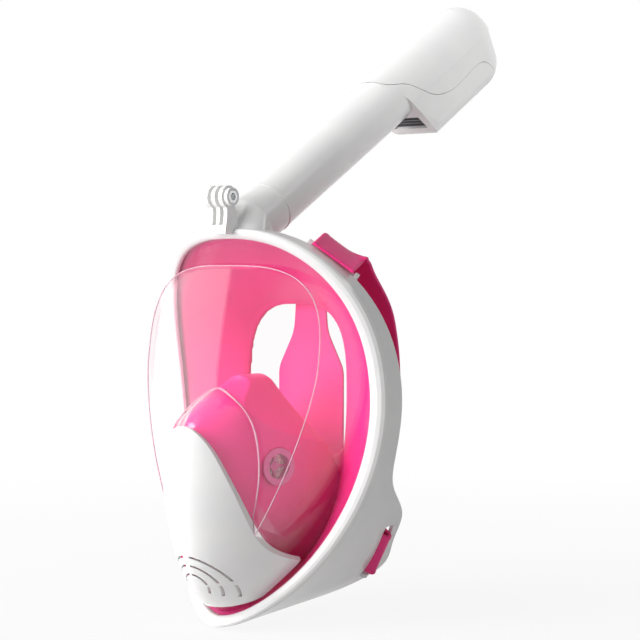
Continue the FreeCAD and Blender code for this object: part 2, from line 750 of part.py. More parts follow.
def valve_seat(name, placement, radius, length, wall):
    """Ring with a hub on spokes, and a flange behind the wall that carries it."""
    body = new_body(name, placement)
    inside = f"{radius} - Sizes.valve_ring"
    face = "-Sizes.valve_recess"
    ring = [(inside, f"-{length}"), (f"{radius} + Sizes.valve_flange", f"-{length}"),
            (f"{radius} + Sizes.valve_flange", f"-{wall} - Sizes.valve_clearance"),
            (radius, f"-{wall} - Sizes.valve_clearance"), (radius, face), (inside, face)]
    hub = box_profile("Sizes.stem_radius + Sizes.stem_clearance", "Sizes.valve_hub + 0.2",
                      f"-{length} + Sizes.spoke_setback", face)
    revolve(body, "ring", [ring, hub])
    spokes(body, f"{inside} + 0.2", f"-{length} + Sizes.spoke_setback", face, 4)
    return body


def valve_flap(name, placement, radius, length):
    """Silicone disc with a stem through the hub and a bulb that keeps it there."""
    body = new_body(name, placement)
    low = "-Sizes.valve_recess + Sizes.flap_gap"
    top = f"{low} + Sizes.flap_thickness"
    disc = f"{radius} - 0.5 * Sizes.valve_ring"
    end = f"-{length} - Sizes.purge_flap_travel"
    profile = [("0", f"{end} - 1.2"), ("Sizes.stem_radius + 0.8", f"{end} - 1.2"),
               ("Sizes.stem_radius + 0.8", end), ("Sizes.stem_radius", end),
               ("Sizes.stem_radius", low), (disc, low), (disc, top), ("0", top)]
    revolve(body, "disc", [profile])
    return body


def inhale_frame(side):
    """Placement on the pocket's wall, Z pointing sideways into the eye chamber."""
    depth = size("inhale_depth")
    height = size("inhale_height")
    x, slope = pocket_side(depth, height)
    turn = math.degrees(math.atan(slope))
    facing = Rotation(Vector(0, 0, 1), 90 + turn if side > 0 else -90 - turn)
    return Placement(Vector(side * x, depth, height),
                     facing.multiply(Rotation(Vector(1, 0, 0), 90)))


def face_oval(angle, grow):
    return oval(angle, size("face_half_width") + grow, size("face_top") + grow,
                size("face_bottom") - grow, size("face_waist"), size("face_crown_power"), 2.0)


def face_half_width(height, grow):
    """Half width of the face opening at a height."""
    upper = height >= size("face_waist")
    power = size("face_crown_power") if upper else 2.0
    end = size("face_top") + grow if upper else size("face_bottom") - grow
    share = abs((height - size("face_waist")) / (end - size("face_waist")))
    return (size("face_half_width") + grow) * (1 - share ** power) ** (1 / power)


def face_skirt():
    front = size("lip_thickness") + 2 * size("lens_flange_gap") + size("lens_flange")
    back = size("shelf_depth") - size("lens_flange_gap")
    wall = size("silicone_wall")
    lip = size("face_lip")

    def face_loop(grow, depth):
        def place(angle):
            x, z = face_oval(angle, grow)
            return x, depth, z
        return around(place)

    return ring_solid([rim_loop(0.4, front), rim_loop(0.4, back), rim_loop(1.0, back),
                       face_loop(lip, 0.0), face_loop(0.0, 0.0), face_loop(0.0, -wall),
                       face_loop(lip, -wall - lip), rim_loop(1.2, front)])


def snout_front(height):
    """Y of the snout's centre line at a height."""
    below = max(entry for entry in SNOUT if entry[0] <= height)
    above = min(entry for entry in SNOUT if entry[0] > height)
    share = (height - below[0]) / (above[0] - below[0])
    return size("snout_depth") + below[1] + share * (above[1] - below[1])


def pocket_front(height):
    gap = size("cover_wall") + size("cover_gap") + size("lens_wall") + size("pocket_gap")
    return snout_front(height) + gap


def pocket_side(depth, height):
    """Half width of the pocket's outside at a place, and its slope there."""
    half = face_half_width(height, -size("pocket_clearance"))
    front = pocket_front(height)
    power = size("pocket_power")
    share = depth / front
    left = 1 - share ** power
    return half * left ** (1 / power), half * share ** (power - 1) * left ** (1 / power - 1) / front


def pocket_solid(inset, rear):
    """Nose and mouth pocket as a bowl of half ovals, open towards the face."""
    top = size("pocket_top") + 1.0
    bottom = size("face_bottom") + 6.0 + inset
    power = 2 / size("pocket_power")
    wires = []
    for i in range(9):
        height = bottom + (top - bottom) * i / 8
        half = face_half_width(height, -size("pocket_clearance")) - inset
        front = pocket_front(height) + inset
        points = [Vector(half, rear, height)]
        for j in range(9):
            turn = math.pi * j / 8
            across = math.copysign(abs(math.cos(turn)) ** power, math.cos(turn))
            points.append(Vector(half * across, front * abs(math.sin(turn)) ** power, height))
        points.append(Vector(-half, rear, height))
        curve = Part.BSplineCurve()
        curve.interpolate(Points=points[1:-1])
        wires.append(Part.Wire([Part.makeLine(points[0], points[1]), curve.toShape(),
                                Part.makeLine(points[-2], points[-1]),
                                Part.makeLine(points[-1], points[0])]))
    return Part.makeLoft(wires, True, False)


def under_roof(inset):
    """Space under the pocket's roof: a rounded ridge that falls to both cheeks."""
    slope = math.radians(size("pocket_roof_slope"))
    radius = size("pocket_roof_round") - inset
    peak = size("pocket_top") - inset + radius * (1 / math.cos(slope) - 1)
    reach = 90.0
    corners = [(0.0, peak, radius), (reach, peak - reach * math.tan(slope), 1.0),
               (reach, -200.0, 1.0), (-reach, -200.0, 1.0), (-reach, peak - reach * math.tan(slope), 1.0)]
    outline = rounded_outline(corners, lambda u, v: Vector(u, -160.0, v))
    return Part.Face(outline).extrude(Vector(0, 220, 0))


def nose_pocket():
    seat = size("purge_seat_length") + size("valve_clearance")
    wall = size("silicone_wall")
    outer = pocket_solid(0.0, 0.3).common(behind_boss(seat)).common(under_roof(0.0))
    inner = pocket_solid(wall, 6.0).common(behind_boss(seat + wall)).common(under_roof(wall))
    body = outer.cut(inner)
    hole = Part.makeCylinder(size("purge_radius") - size("valve_ring"), 60, Vector(0, 0, -30))
    hole.Placement = purge_frame()
    body = body.cut(hole)
    for side in (1, -1):
        hole = Part.makeCylinder(size("inhale_radius") + size("valve_clearance"), 30, Vector(0, 0, -15))
        flange = size("inhale_radius") + size("valve_flange") + size("valve_clearance")
        flat = Part.makeCylinder(flange, 15, Vector(0, 0, 0.5 * size("valve_clearance")))
        for cutter in (hole, flat):
            cutter.Placement = inhale_frame(side)
            body = body.cut(cutter)
    return body


def camera_mount():
    """Three-eared mount with a nut boss, on a foot shaped to the crown."""
    stack = 3 * size("mount_ear_thickness") + 2 * size("mount_ear_gap")
    half = stack / 2
    radius = size("mount_ear_radius")
    crown = size("frame_top")
    axis = Vector(0, size("mount_depth") - size("mount_lean"), crown + size("mount_height"))
    foot = size("mount_foot_depth") / 2
    neck = size("mount_neck_depth") / 2
    depth = size("mount_depth")
    waist = crown + 0.35 * size("mount_height")
    front = [(depth - foot, crown - 5), (depth - foot + 0.5, crown), (depth - neck, waist),
             (axis.y - radius, axis.z)]
    rear = [(axis.y + radius, axis.z), (depth + neck, waist), (depth + foot, crown + 1.0),
            (depth + foot, crown - 5)]
    runs = []
    for run in (front, rear):
        curve = Part.BSplineCurve()
        curve.interpolate([Vector(-half, y, z) for y, z in run])
        runs.append(curve.toShape())
    sides = [Part.makeLine(Vector(-half, *front[-1]), Vector(-half, *rear[0])),
             Part.makeLine(Vector(-half, *rear[-1]), Vector(-half, *front[0]))]
    wire = Part.Wire([runs[0], sides[0], runs[1], sides[1]])
    stalk = Part.Face(wire).extrude(Vector(stack, 0, 0))
    eye = Part.makeCylinder(radius, stack, Vector(-half, axis.y, axis.z), Vector(1, 0, 0))
    boss_radius = size("nut_across_flats") / 2 / math.cos(math.pi / 6) + 1.4
    boss = Part.makeCylinder(boss_radius, size("boss_length"), Vector(half, axis.y, axis.z), Vector(1, 0, 0))
    body = stalk.fuse([eye, boss])
    floor = crown + size("mount_foot")
    pitch = size("mount_ear_thickness") + size("mount_ear_gap")
    for start in (-half + size("mount_ear_thickness"), -half + size("mount_ear_thickness") + pitch):
        body = body.cut(slab(start, start + size("mount_ear_gap"), -120, -40, floor, crown + 60))
    bore = Part.makeCylinder(size("mount_bore_radius"), 60, Vector(-30, axis.y, axis.z), Vector(1, 0, 0))
    body = body.cut(bore).cut(nut_shape(size("nut_clearance"), 1.0))
    body = body.cut(frame_block(3 * size("parting_depth"))).cut(collar(0.0, 0.0))
    body = body.cut(slab(-40, 40, -120, -40, crown - 20, crown - 4))
    return max(body.Solids, key=lambda solid: solid.Volume)


def nut_place():
    half = 1.5 * size("mount_ear_thickness") + size("mount_ear_gap")
    start = half + size("boss_length") - size("nut_thickness")
    return Vector(start, size("mount_depth") - size("mount_lean"), size("frame_top") + size("mount_height"))


def nut_shape(clearance, overrun):
    """Hexagonal bar in the boss, open to the wearer's left."""
    start = nut_place()
    radius = (size("nut_across_flats") / 2 + clearance) / math.cos(math.pi / 6)
    corners = []
    for i in range(7):
        turn = math.pi * i / 3
        corners.append(start + Vector(0, radius * math.cos(turn), radius * math.sin(turn)))
    return Part.Face(Part.makePolygon(corners)).extrude(Vector(size("nut_thickness") + overrun, 0, 0))


def mount_nut():
    hole = Part.makeCylinder(size("mount_bore_radius"), 60, nut_place() - Vector(30, 0, 0), Vector(1, 0, 0))
    return nut_shape(0.0, 0.0).cut(hole)


def tube_oval(inset, start, end, placement=Placement()):
    """Oval bar along the tube's axis with the tube's taper."""
    span = size("tube_top") - size("collar_length")

    def grow(height):
        return size("tube_taper") * max(height - size("collar_length"), 0) / span - inset

    curves = [oval_edge(size("tube_radius_wide") + grow(height), size("tube_radius_deep") + grow(height),
                        height, placement) for height in (start, end)]
    return ruled_block(*curves)


def spigot_inset():
    return size("tube_wall") + size("spigot_clearance")


def snorkel_tube():
    collar_end = size("collar_length")
    low = collar_end - size("spigot_length")
    shoulder = collar_end + size("seam_gap") + size("ring_length")
    top = size("tube_top")
    body = tube_oval(0.0, shoulder, top).fuse(tube_oval(spigot_inset(), low, shoulder))
    bore = spigot_inset() + size("tube_wall")
    body = body.cut(tube_oval(bore, low - 1, shoulder + 4))
    body = body.cut(tube_oval(size("tube_wall"), shoulder + size("tube_wall"), top + 1))
    groove = gasket_shape(0.0)
    body = body.cut(groove)
    half = size("channel_half_width")
    wall = size("channel_wall")
    core = tube_oval(size("tube_wall") - 0.3, shoulder + 3, top - 2)
    for start in (-half - wall, half):
        body = body.fuse(core.common(slab(start, start + wall, -30, 30, shoulder, top)))
    return body


def gasket_shape(clearance):
    """Oval sealing ring round the spigot."""
    middle = size("collar_length") - size("spigot_length") / 2
    half = size("gasket_radius")
    outer = tube_oval(size("tube_wall") + clearance, middle - half, middle + half)
    inner = tube_oval(spigot_inset() + 1.2, middle - half - 1, middle + half + 1)
    return outer.cut(inner)


def tube_ring():
    start = size("collar_length") + size("seam_gap")
    end = start + size("ring_length")
    outer = tube_oval(-size("ring_step"), start, end)
    return outer.cut(tube_oval(spigot_inset(), start - 1, end + 1))


def head_outline(inset):
    """Head seen along the snorkel: elliptical front, creases, sides and rounded rear corners."""
    facet = size("head_facet")
    half = size("head_half_width") - inset
    front = -size("head_front") + inset
    middle = front + size("head_front_round")
    lean = (facet - middle) / size("head_front_round")
    wide = half / math.sqrt(1 - lean ** 2)
    points = []
    for i in range(-6, 7):
        across = half * math.sin(math.pi / 2 * i / 6)
        reach = size("head_front_round") * math.sqrt(1 - (across / wide) ** 2)
        points.append(Vector(across, middle - reach, 0))
    arc = Part.BSplineCurve()
    arc.interpolate(points)
    rear = size("head_bulge") - inset
    narrow = half - size("head_side_draft")
    corner = size("head_corner") - inset
    shift = corner * (1 - math.sqrt(0.5))
    left = [Vector(half, points[-1].y, 0), Vector(narrow, rear - corner, 0),
            Vector(narrow - shift, rear - shift, 0), Vector(narrow - corner, rear, 0)]
    right = [Vector(-point.x, point.y, 0) for point in left]
    edges = [arc.toShape(), Part.makeLine(left[0], left[1]), Part.Arc(*left[1:]).toShape(),
             Part.makeLine(left[3], right[3]), Part.Arc(right[3], right[2], right[1]).toShape(),
             Part.makeLine(right[1], right[0])]
    return Part.Wire(edges)


def head_end(inset):
    """Domed end of the head: its outline drawn in along an ellipse."""
    middle = Vector(0, (size("head_bulge") - size("head_front")) / 2, 0)
    base = size("head_top") - size("head_end_round")
    wires = []
    for degrees in (0, 15, 30, 45, 60, 72, 81, 87):
        turn = math.radians(degrees)
        wire = head_outline(inset).scaled(math.cos(turn), middle)
        wires.append(wire.translated(Vector(0, 0, base + (size("head_end_round") - inset) * math.sin(turn))))
    return Part.makeLoft(wires, True, False)


def side_profile(inset):
    """Bulge seen from the side: upright rear and slanted underside, below the domed end."""
    front = -size("head_front") - 2
    rear = size("head_bulge") - inset
    base = size("head_top") - size("head_end_round")
    slope = (size("scoop_high") - size("scoop_low")) / (size("head_bulge") - throat())
    high = size("scoop_high") + inset * (math.sqrt(1 + slope ** 2) - slope)
    low = size("tube_top") + 4
    bend = rear - (high - low) / slope
    corners = [(rear, high, size("scoop_round") - inset), (rear, base, 0.1), (front, base, 0.1)]
    if bend > front:
        corners += [(front, low, 0.1), (bend, low, 0.1)]
    else:
        corners += [(front, high - slope * (rear - front), 0.1)]
    outline = rounded_outline(corners, lambda u, v: Vector(-40, u, v))
    return Part.Face(outline).extrude(Vector(80, 0, 0))


def throat():
    return size("tube_radius_deep") + size("tube_taper")


def belly(inset):
    """Head seen along its slanted belly: upright sides that turn in below."""
    half = size("head_half_width") + 0.6 - inset
    turn = size("belly_turn")
    height = size("belly_round")
    wire = [Vector(half, 0, height), Vector(half - 0.245 * turn, 0, height / 2), Vector(half - turn, 0, 0)]
    other = [Vector(-point.x, 0, point.z) for point in wire]
    edges = [Part.Arc(*wire).toShape(), Part.makeLine(wire[2], other[2]),
             Part.Arc(other[2], other[1], other[0]).toShape()]
    top = [Vector(-half, 0, 200), Vector(half, 0, 200)]
    edges += [Part.makeLine(other[0], top[0]), Part.makeLine(top[0], top[1]),
              Part.makeLine(top[1], wire[0])]
    block = Part.Face(Part.Wire(edges)).extrude(Vector(0, 300, 0))
    aside = inset * (1 - math.sin(math.radians(90 - size("belly_angle"))))
    lift = Vector(0, size("head_bulge"), size("belly_height") + aside)
    turned = Placement(lift, Rotation(Vector(1, 0, 0), size("belly_angle")))
    block.Placement = turned.multiply(Placement(Vector(0, -200, inset), Rotation()))
    return block


def head_neck(inset):
    """Round neck that carries the tube's section up into the head."""
    wide = size("tube_radius_wide") + size("tube_taper") - inset
    foot = oval_edge(wide, throat() - inset, size("tube_top") - 8 * inset, Placement())
    end = oval_edge(size("neck_end_wide") - inset, size("neck_end_deep") - inset,
                    size("head_neck_end"), Placement())
    return ruled_block(foot, end)


def head_solid(inset):
    bulge = Part.Face(head_outline(inset)).extrude(Vector(0, 0, size("head_top") - size("head_end_round")))
    bulge = bulge.common(side_profile(inset)).common(belly(inset))
    return bulge.fuse([head_end(inset), head_neck(inset)]).removeSplitter()


def cap_space(grow):
    """Space of the head cap: front and end of the head, above a stepped seam."""
    run = [(-26.0, 171.0), (-21.0, 173.5), (-15.5, 179.0), (-10.5, 189.5), (-4.0, 198.0),
           (4.0, 205.5), (12.0, 215.5), (17.5, 228.0), (19.8, 240.0), (19.5, 258.0),
           (18.8, 274.0), (20.5, 285.0), (26.0, 291.5), (60.0, 302.0)]
    seam = Part.BSplineCurve()
    seam.interpolate([Vector(-60, y + grow, s - grow) for y, s in run])
    first = Vector(-60, run[0][0] + grow, run[0][1] - grow)
    last = Vector(-60, run[-1][0] + grow, run[-1][1] - grow)
    high = size("head_top") + 30
    corners = [last, Vector(-60, last.y, high), Vector(-60, first.y, high), first]
    edges = [seam.toShape()] + [Part.makeLine(corners[i], corners[i + 1]) for i in range(3)]
    return Part.Face(Part.Wire(edges)).extrude(Vector(120, 0, 0))


def underside_frame():
    """Placement in the middle of the intake, Z pointing out of the slanted underside."""
    run = size("head_bulge") - throat()
    climb = size("scoop_high") - size("scoop_low")
    share = (size("intake_start") + size("intake_length") / 2) / math.hypot(run, climb)
    middle = Vector(0, throat() + run * share, size("scoop_low") + climb * share)
    tilt = math.degrees(math.atan2(climb, run))
    return Placement(middle, Rotation(Vector(1, 0, 0), 180 + tilt))


def intake_hole(depth):
    half = size("intake_half_width")
    reach = size("intake_length") / 2
    box = slab(-half, half, -reach, reach, -depth, depth)
    box.Placement = underside_frame()
    return box


def head_shell():
    return head_solid(0.0).cut(head_solid(size("head_wall"))).cut(intake_hole(6.0))


def port_height():
    return size("float_base") + size("float_length") + size("seal_thickness") + size("float_travel") + 0.3


def port_plate():
    """Plate across the head, with the airway port that the float closes."""
    low = port_height()
    space = head_solid(size("head_wall"))
    plate = space.common(slab(-60, 60, -60, 60, low, low + size("port_plate")))
    port = Part.makeCylinder(size("port_radius"), 20, Vector(0, size("float_offset"), low - 5))
    return plate.cut(port)


def float_cage():
    """Slotted tube under the port plate that guides the float."""
    inside = size("float_radius") + size("float_clearance")
    outside = inside + size("cage_wall")
    low = size("float_base") - size("cage_floor") - 0.3
    middle = Vector(0, size("float_offset"), low)
    body = Part.makeCylinder(outside, port_height() - low, middle)
    body = body.cut(Part.makeCylinder(inside, 80, middle + Vector(0, 0, size("cage_floor"))))
    body = body.cut(Part.makeCylinder(0.6 * inside, 10, middle - Vector(0, 0, 5)))
    count = int(size("cage_slots"))
    for i in range(count):
        slot = slab(inside - 2, outside + 2, -3, 3, 0, size("float_length") - 4)
        slot.Placement = Placement(middle + Vector(0, 0, size("cage_floor") + 4),
                                   Rotation(Vector(0, 0, 1), 360.0 * i / count))
        body = body.cut(slot)
    return body


def intake_grille():
    """Barred grille inside the head's slanted underside, in the intake's own frame."""
    margin = size("grille_margin")
    half = size("intake_half_width") + margin
    reach = size("intake_length") / 2 + margin
    depth = size("head_wall") + size("grille_clearance")
    plate = slab(-half, half, -reach, reach, -depth - size("grille_thickness"), -depth)
    count = int(size("intake_bars"))
    pitch = size("intake_length") / count
    for i in range(count):
        start = -size("intake_length") / 2 + pitch * i
        gap = slab(-half + 2 * margin, half - 2 * margin, start + 0.7, start + pitch - 0.7, -20, 5)
        plate = plate.cut(gap)
    return plate


def straight_strap(stations, width):
    """Flat strap through stations, each a middle and a direction across."""
    wires = []
    thick = size("strap_thickness") / 2
    for i, (middle, across) in enumerate(stations):
        before = stations[max(i - 1, 0)][0]
        after = stations[min(i + 1, len(stations) - 1)][0]
        side = Vector(*across).normalize() * (width / 2)
        normal = (Vector(*after) - Vector(*before)).cross(side).normalize() * thick
        centre = Vector(*middle)
        corners = [centre - side - normal, centre + side - normal, centre + side + normal,
                   centre - side + normal]
        wires.append(Part.makePolygon(corners + corners[:1]))
    return Part.makeLoft(wires, True, True)


def upper_strap():
    """Left upper strap: over its bar and down flat behind the mask to the pad."""
    ends = bar_ends()
    along = (ends[1] - ends[0]).normalize()
    middle = (ends[0] + ends[1]) / 2
    upward = (Vector(0, 0, 1) - along * along.z).normalize()
    rearward = (Vector(0, 1, 0) - along * along.y).normalize()
    off = size("bar_radius") + size("strap_thickness") / 2 + size("strap_gap")
    across = (along.x, along.y, along.z)
    behind = size("pad_depth") - size("strap_thickness") / 2 - size("strap_gap")
    stations = []
    for back, rise in ((-3.0, 0.0), (3.0, 1.0), (9.0, 4.0), (16.0, 3.0)):
        place = middle + rearward * back + upward * (off + rise)
        stations.append(((place.x, place.y, place.z), across))
    stations += [((middle.x + 5, middle.y + 25, middle.z - 8), (0.75, 0.35, -0.5)),
                 ((70, 0, 76), (0.95, 0.2, -0.2)), ((73, 5, 42), (1, 0, -0.05)),
                 ((71, behind - 2, 12), (0.97, 0, -0.2)), ((62, behind - 0.5, -13), (0.8, 0, -0.6)),
                 ((46, behind, -31), (0.62, 0, -0.78)), ((26, behind, -44), (0.55, 0, -0.83))]
    return straight_strap(stations, size("upper_strap_width"))


def lower_strap():
    """Left lower strap: round the outside of its pin in the jaw lobe and back to the pad."""
    ends = pin_ends()
    middle = (ends[0] + ends[1]) / 2
    along = (ends[0] - ends[1]).normalize()
    outward = along.cross(Vector(0, 1, 0)).normalize()
    if outward.x < 0:
        outward = outward * -1
    rearward = (Vector(0, 1, 0) - along * along.y).normalize()
    off = size("pin_radius") + size("strap_thickness") / 2 + size("strap_gap")
    across = (along.x, along.y, along.z)
    behind = size("pad_depth") + 1.5 * size("strap_thickness") + size("strap_gap")
    stations = []
    for degrees in (-150, -115, -80, -45, -10, 25, 60, 90):
        turn = math.radians(degrees)
        place = middle + outward * (off * math.cos(turn)) + rearward * (off * math.sin(turn))
        stations.append(((place.x, place.y, place.z), across))
    stations += [((middle.x - 9, middle.y + off + 2.5, middle.z + 4), (0.5, 0, 0.85)),
                 ((36, behind + 4, -77), (0.35, 0, 0.93)),
                 ((20, behind, -62), (0.4, 0, 0.9))]
    return straight_strap(stations, size("lower_strap_width"))


def strap_pad():
    """Strap pad behind the head, narrow at the top and wide at the neck."""
    top = size("pad_top")
    bottom = size("pad_bottom")
    wide = size("pad_half_width")
    narrow = size("pad_top_half_width")
    right = [(narrow, top, 7), (narrow + 2, top - 26, 30), (wide, top - 52, 20),
             (wide, bottom + 48, 24), (0.62 * wide, bottom, 12)]
    corners = right + [(-x, z, radius) for x, z, radius in reversed(right)]
    outline = rounded_outline(corners, lambda u, v: Vector(u, size("pad_depth"), v))
    return Part.Face(outline).extrude(Vector(0, size("strap_thickness"), 0))


def mirrored(shape):
    """The same shape on the wearer's right."""
    return shape.mirror(Vector(), Vector(1, 0, 0))


def inhale_flap(side):
    """Flap inside an inhale valve, hinged at its upper edge."""
    name = "inhale_flap_left" if side > 0 else "inhale_flap_right"
    body = new_body(name, inhale_frame(side))
    top = "-Sizes.inhale_seat_length - Sizes.flap_gap"
    radius = "Sizes.inhale_radius - 0.5 * Sizes.valve_ring"
    revolve(body, "disc", [box_profile("0", radius, top + " - Sizes.flap_thickness", top)])
    return body


def inhale_seat(name, placement):
    """Ring through the pocket's wall, with spokes and an outer flange."""
    body = new_body(name, placement)
    radius = "Sizes.inhale_radius"
    inside = "Sizes.inhale_radius - Sizes.valve_ring"
    low = "-Sizes.inhale_seat_length"
    rim = "Sizes.valve_clearance"
    ring = [(inside, low), (radius, low), (radius, rim), (radius + " + Sizes.valve_flange", rim),
            (radius + " + Sizes.valve_flange", rim + " + Sizes.valve_recess"),
            (inside, rim + " + Sizes.valve_recess")]
    hub = box_profile("0", "Sizes.valve_hub + 0.2", low, low + " + Sizes.spoke_setback")
    revolve(body, "ring", [ring, hub])
    spokes(body, inside + " + 0.2", low, low + " + Sizes.spoke_setback", 4)
    return body


def float_place():
    """Placement at the float's axis, where the float rests on the cage floor."""
    return tube_frame().multiply(Placement(Vector(0, size("float_offset"), size("float_base")), Rotation()))


def float_body():
    """Hollow-looking float, a plain cylinder with a waist and a rounded lower edge."""
    body = new_body("float", float_place())
    radius = "Sizes.float_radius"
    top = "Sizes.float_length"
    profile = [("0", "0"), (radius + " - 2", "0"), (radius, "2"), (radius, top + " - 1"),
               (radius + " - 1", top), ("0", top)]
    revolve(body, "float_profile", [profile])
    return body


def float_seal():
    """Silicone seal on top of the float."""
    body = new_body("float_seal", float_place())
    low = "Sizes.float_length"
    radius = "Sizes.port_radius + 2"
    revolve(body, "seal", [box_profile("0", radius, low, low + " + Sizes.seal_thickness")])
    return body


def head_parts():
    """Head base and cap, divided along the seam."""
    shell = head_shell()
    return shell.cut(cap_space(size("seam_width"))), shell.common(cap_space(0.0))


def main():
    add_feature("front_frame", front_frame())
    add_feature("rear_frame", rear_frame())
    add_feature("lens", lens())
    add_feature("chin_cover", chin_cover())
    add_feature("face_skirt", face_skirt())
    add_feature("nose_pocket", nose_pocket())
    valve_seat("purge_valve_seat", purge_frame(), "Sizes.purge_radius",
               "Sizes.purge_seat_length", "Sizes.lens_wall")
    valve_flap("purge_flap", purge_frame(), "Sizes.purge_radius", "Sizes.purge_seat_length")
    for side, word in ((1, "left"), (-1, "right")):
        inhale_seat("inhale_valve_seat_" + word, inhale_frame(side))
        inhale_flap(side)
    add_feature("camera_mount", camera_mount())
    add_feature("mount_nut", mount_nut())
    for side, word in ((1, "left"), (-1, "right")):
        add_feature("strap_bar_" + word, rod(bar_ends(), size("bar_radius"), side))
        add_feature("strap_pin_" + word, rod(pin_ends(), size("pin_radius"), side))
    for word, turned in (("left", lambda shape: shape), ("right", mirrored)):
        add_feature("upper_strap_" + word, turned(upper_strap()))
        add_feature("lower_strap_" + word, turned(lower_strap()))
    add_feature("strap_pad", strap_pad())
    tube = tube_frame()
    base, cap = head_parts()
    add_feature("snorkel_tube", snorkel_tube(), tube)
    add_feature("socket_gasket", gasket_shape(size("gasket_clearance")), tube)
    add_feature("tube_ring", tube_ring(), tube)
    add_feature("head_base", base, tube)
    add_feature("head_cap", cap, tube)
    add_feature("port_plate", port_plate(), tube)
    add_feature("float_cage", float_cage(), tube)
    add_feature("intake_grille", intake_grille(), tube.multiply(underside_frame()))
    float_body()
    float_seal()


main()
doc.recompute()
pieces = [item for item in doc.Objects if item.TypeId in ("Part::Feature", "PartDesign::Body")]
for item in doc.Objects:
    if {"Invalid", "Error"} & set(item.State):
        raise RuntimeError(f"{item.Label} failed: {item.State}")
for piece in pieces:
    if piece.Shape.isNull() or not piece.Shape.isValid():
        raise RuntimeError(f"{piece.Label} has no valid shape")
os.makedirs("parts", exist_ok=True)
for piece in pieces:
    piece.Shape.exportStep(f"parts/{piece.Label}.step")
    print(piece.Label, round(piece.Shape.Volume), len(piece.Shape.Solids))
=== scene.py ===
# %% [markdown]
# # Full face snorkel mask
# This lesson dresses a CAD model of a full face snorkel mask. The CAD model holds every piece at its
# real size, and joints that let the snorkel slide and the valves open. Here the pieces get their
# finishes, and the soft ones are modelled again as soft things. Shapes are given in millimetres and
# turned into Blender's metres with MM. The floor, the lamps and the camera are placed in metres.

import math

import bmesh
import bpy
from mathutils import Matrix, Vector


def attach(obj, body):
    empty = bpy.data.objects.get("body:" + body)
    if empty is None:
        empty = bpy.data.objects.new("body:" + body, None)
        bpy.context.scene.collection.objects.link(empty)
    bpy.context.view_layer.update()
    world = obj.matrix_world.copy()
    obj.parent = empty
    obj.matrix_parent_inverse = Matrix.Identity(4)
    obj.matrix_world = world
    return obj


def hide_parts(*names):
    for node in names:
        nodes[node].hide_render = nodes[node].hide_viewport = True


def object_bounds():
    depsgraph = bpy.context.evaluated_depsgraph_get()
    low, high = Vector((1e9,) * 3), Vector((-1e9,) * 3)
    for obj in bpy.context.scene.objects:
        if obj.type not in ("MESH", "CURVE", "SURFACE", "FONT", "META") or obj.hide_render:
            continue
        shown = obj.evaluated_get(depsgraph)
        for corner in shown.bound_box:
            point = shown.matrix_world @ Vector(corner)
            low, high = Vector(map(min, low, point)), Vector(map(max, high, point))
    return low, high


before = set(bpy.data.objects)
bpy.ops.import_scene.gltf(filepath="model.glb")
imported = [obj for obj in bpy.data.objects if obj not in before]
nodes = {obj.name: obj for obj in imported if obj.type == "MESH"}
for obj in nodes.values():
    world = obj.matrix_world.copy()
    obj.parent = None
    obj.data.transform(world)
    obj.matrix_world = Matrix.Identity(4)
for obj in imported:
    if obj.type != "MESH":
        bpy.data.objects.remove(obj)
cad_low, cad_high = [list(corner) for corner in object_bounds()]
MM = 0.001
print("CAD pieces:", len(nodes))

# %% [markdown]
# ## Colours and nodes
# Colours are easiest to read as the hex values that a paint program shows. Blender's shaders want
# linear light, so one function turns them. A second function adds one shader node, sets it and
# links it, and everything below is made with it.

# %% Colour and node helpers


def colour(hex_value):
    """Linear RGBA of an sRGB hex colour."""
    channels = [int(hex_value[i:i + 2], 16) / 255 for i in (1, 3, 5)]
    linear = [c / 12.92 if c <= 0.04045 else ((c + 0.055) / 1.055) ** 2.4 for c in channels]
    return (*linear, 1.0)


def add_node(tree, kind, inputs=None, **settings):
    """New shader node. Each input is a plain value or another node's output socket."""
    item = tree.nodes.new(kind)
    for name, value in settings.items():
        setattr(item, name, value)
    for name, value in (inputs or {}).items():
        if isinstance(value, bpy.types.NodeSocket):
            tree.links.new(value, item.inputs[name])
        else:
            item.inputs[name].default_value = value
    return item


print("linear mid grey:", [round(c, 3) for c in colour("#808080")])

# %% [markdown]
# ## What every moulded finish shares
# A moulded surface is never quite even. Its tone and its sheen drift over a few centimetres, where
# the plastic shrank or the mould was polished by hand, and a finer relief breaks up the highlight.
# An image texture could be wrapped round each piece, but it would need seams. Noise in the
# object's own space has none, so each finish is two noises: a broad one and a fine one.

# %% Finish helpers
NOISE_LOW, NOISE_HIGH = 0.3, 0.7  # most of a noise's values lie between these


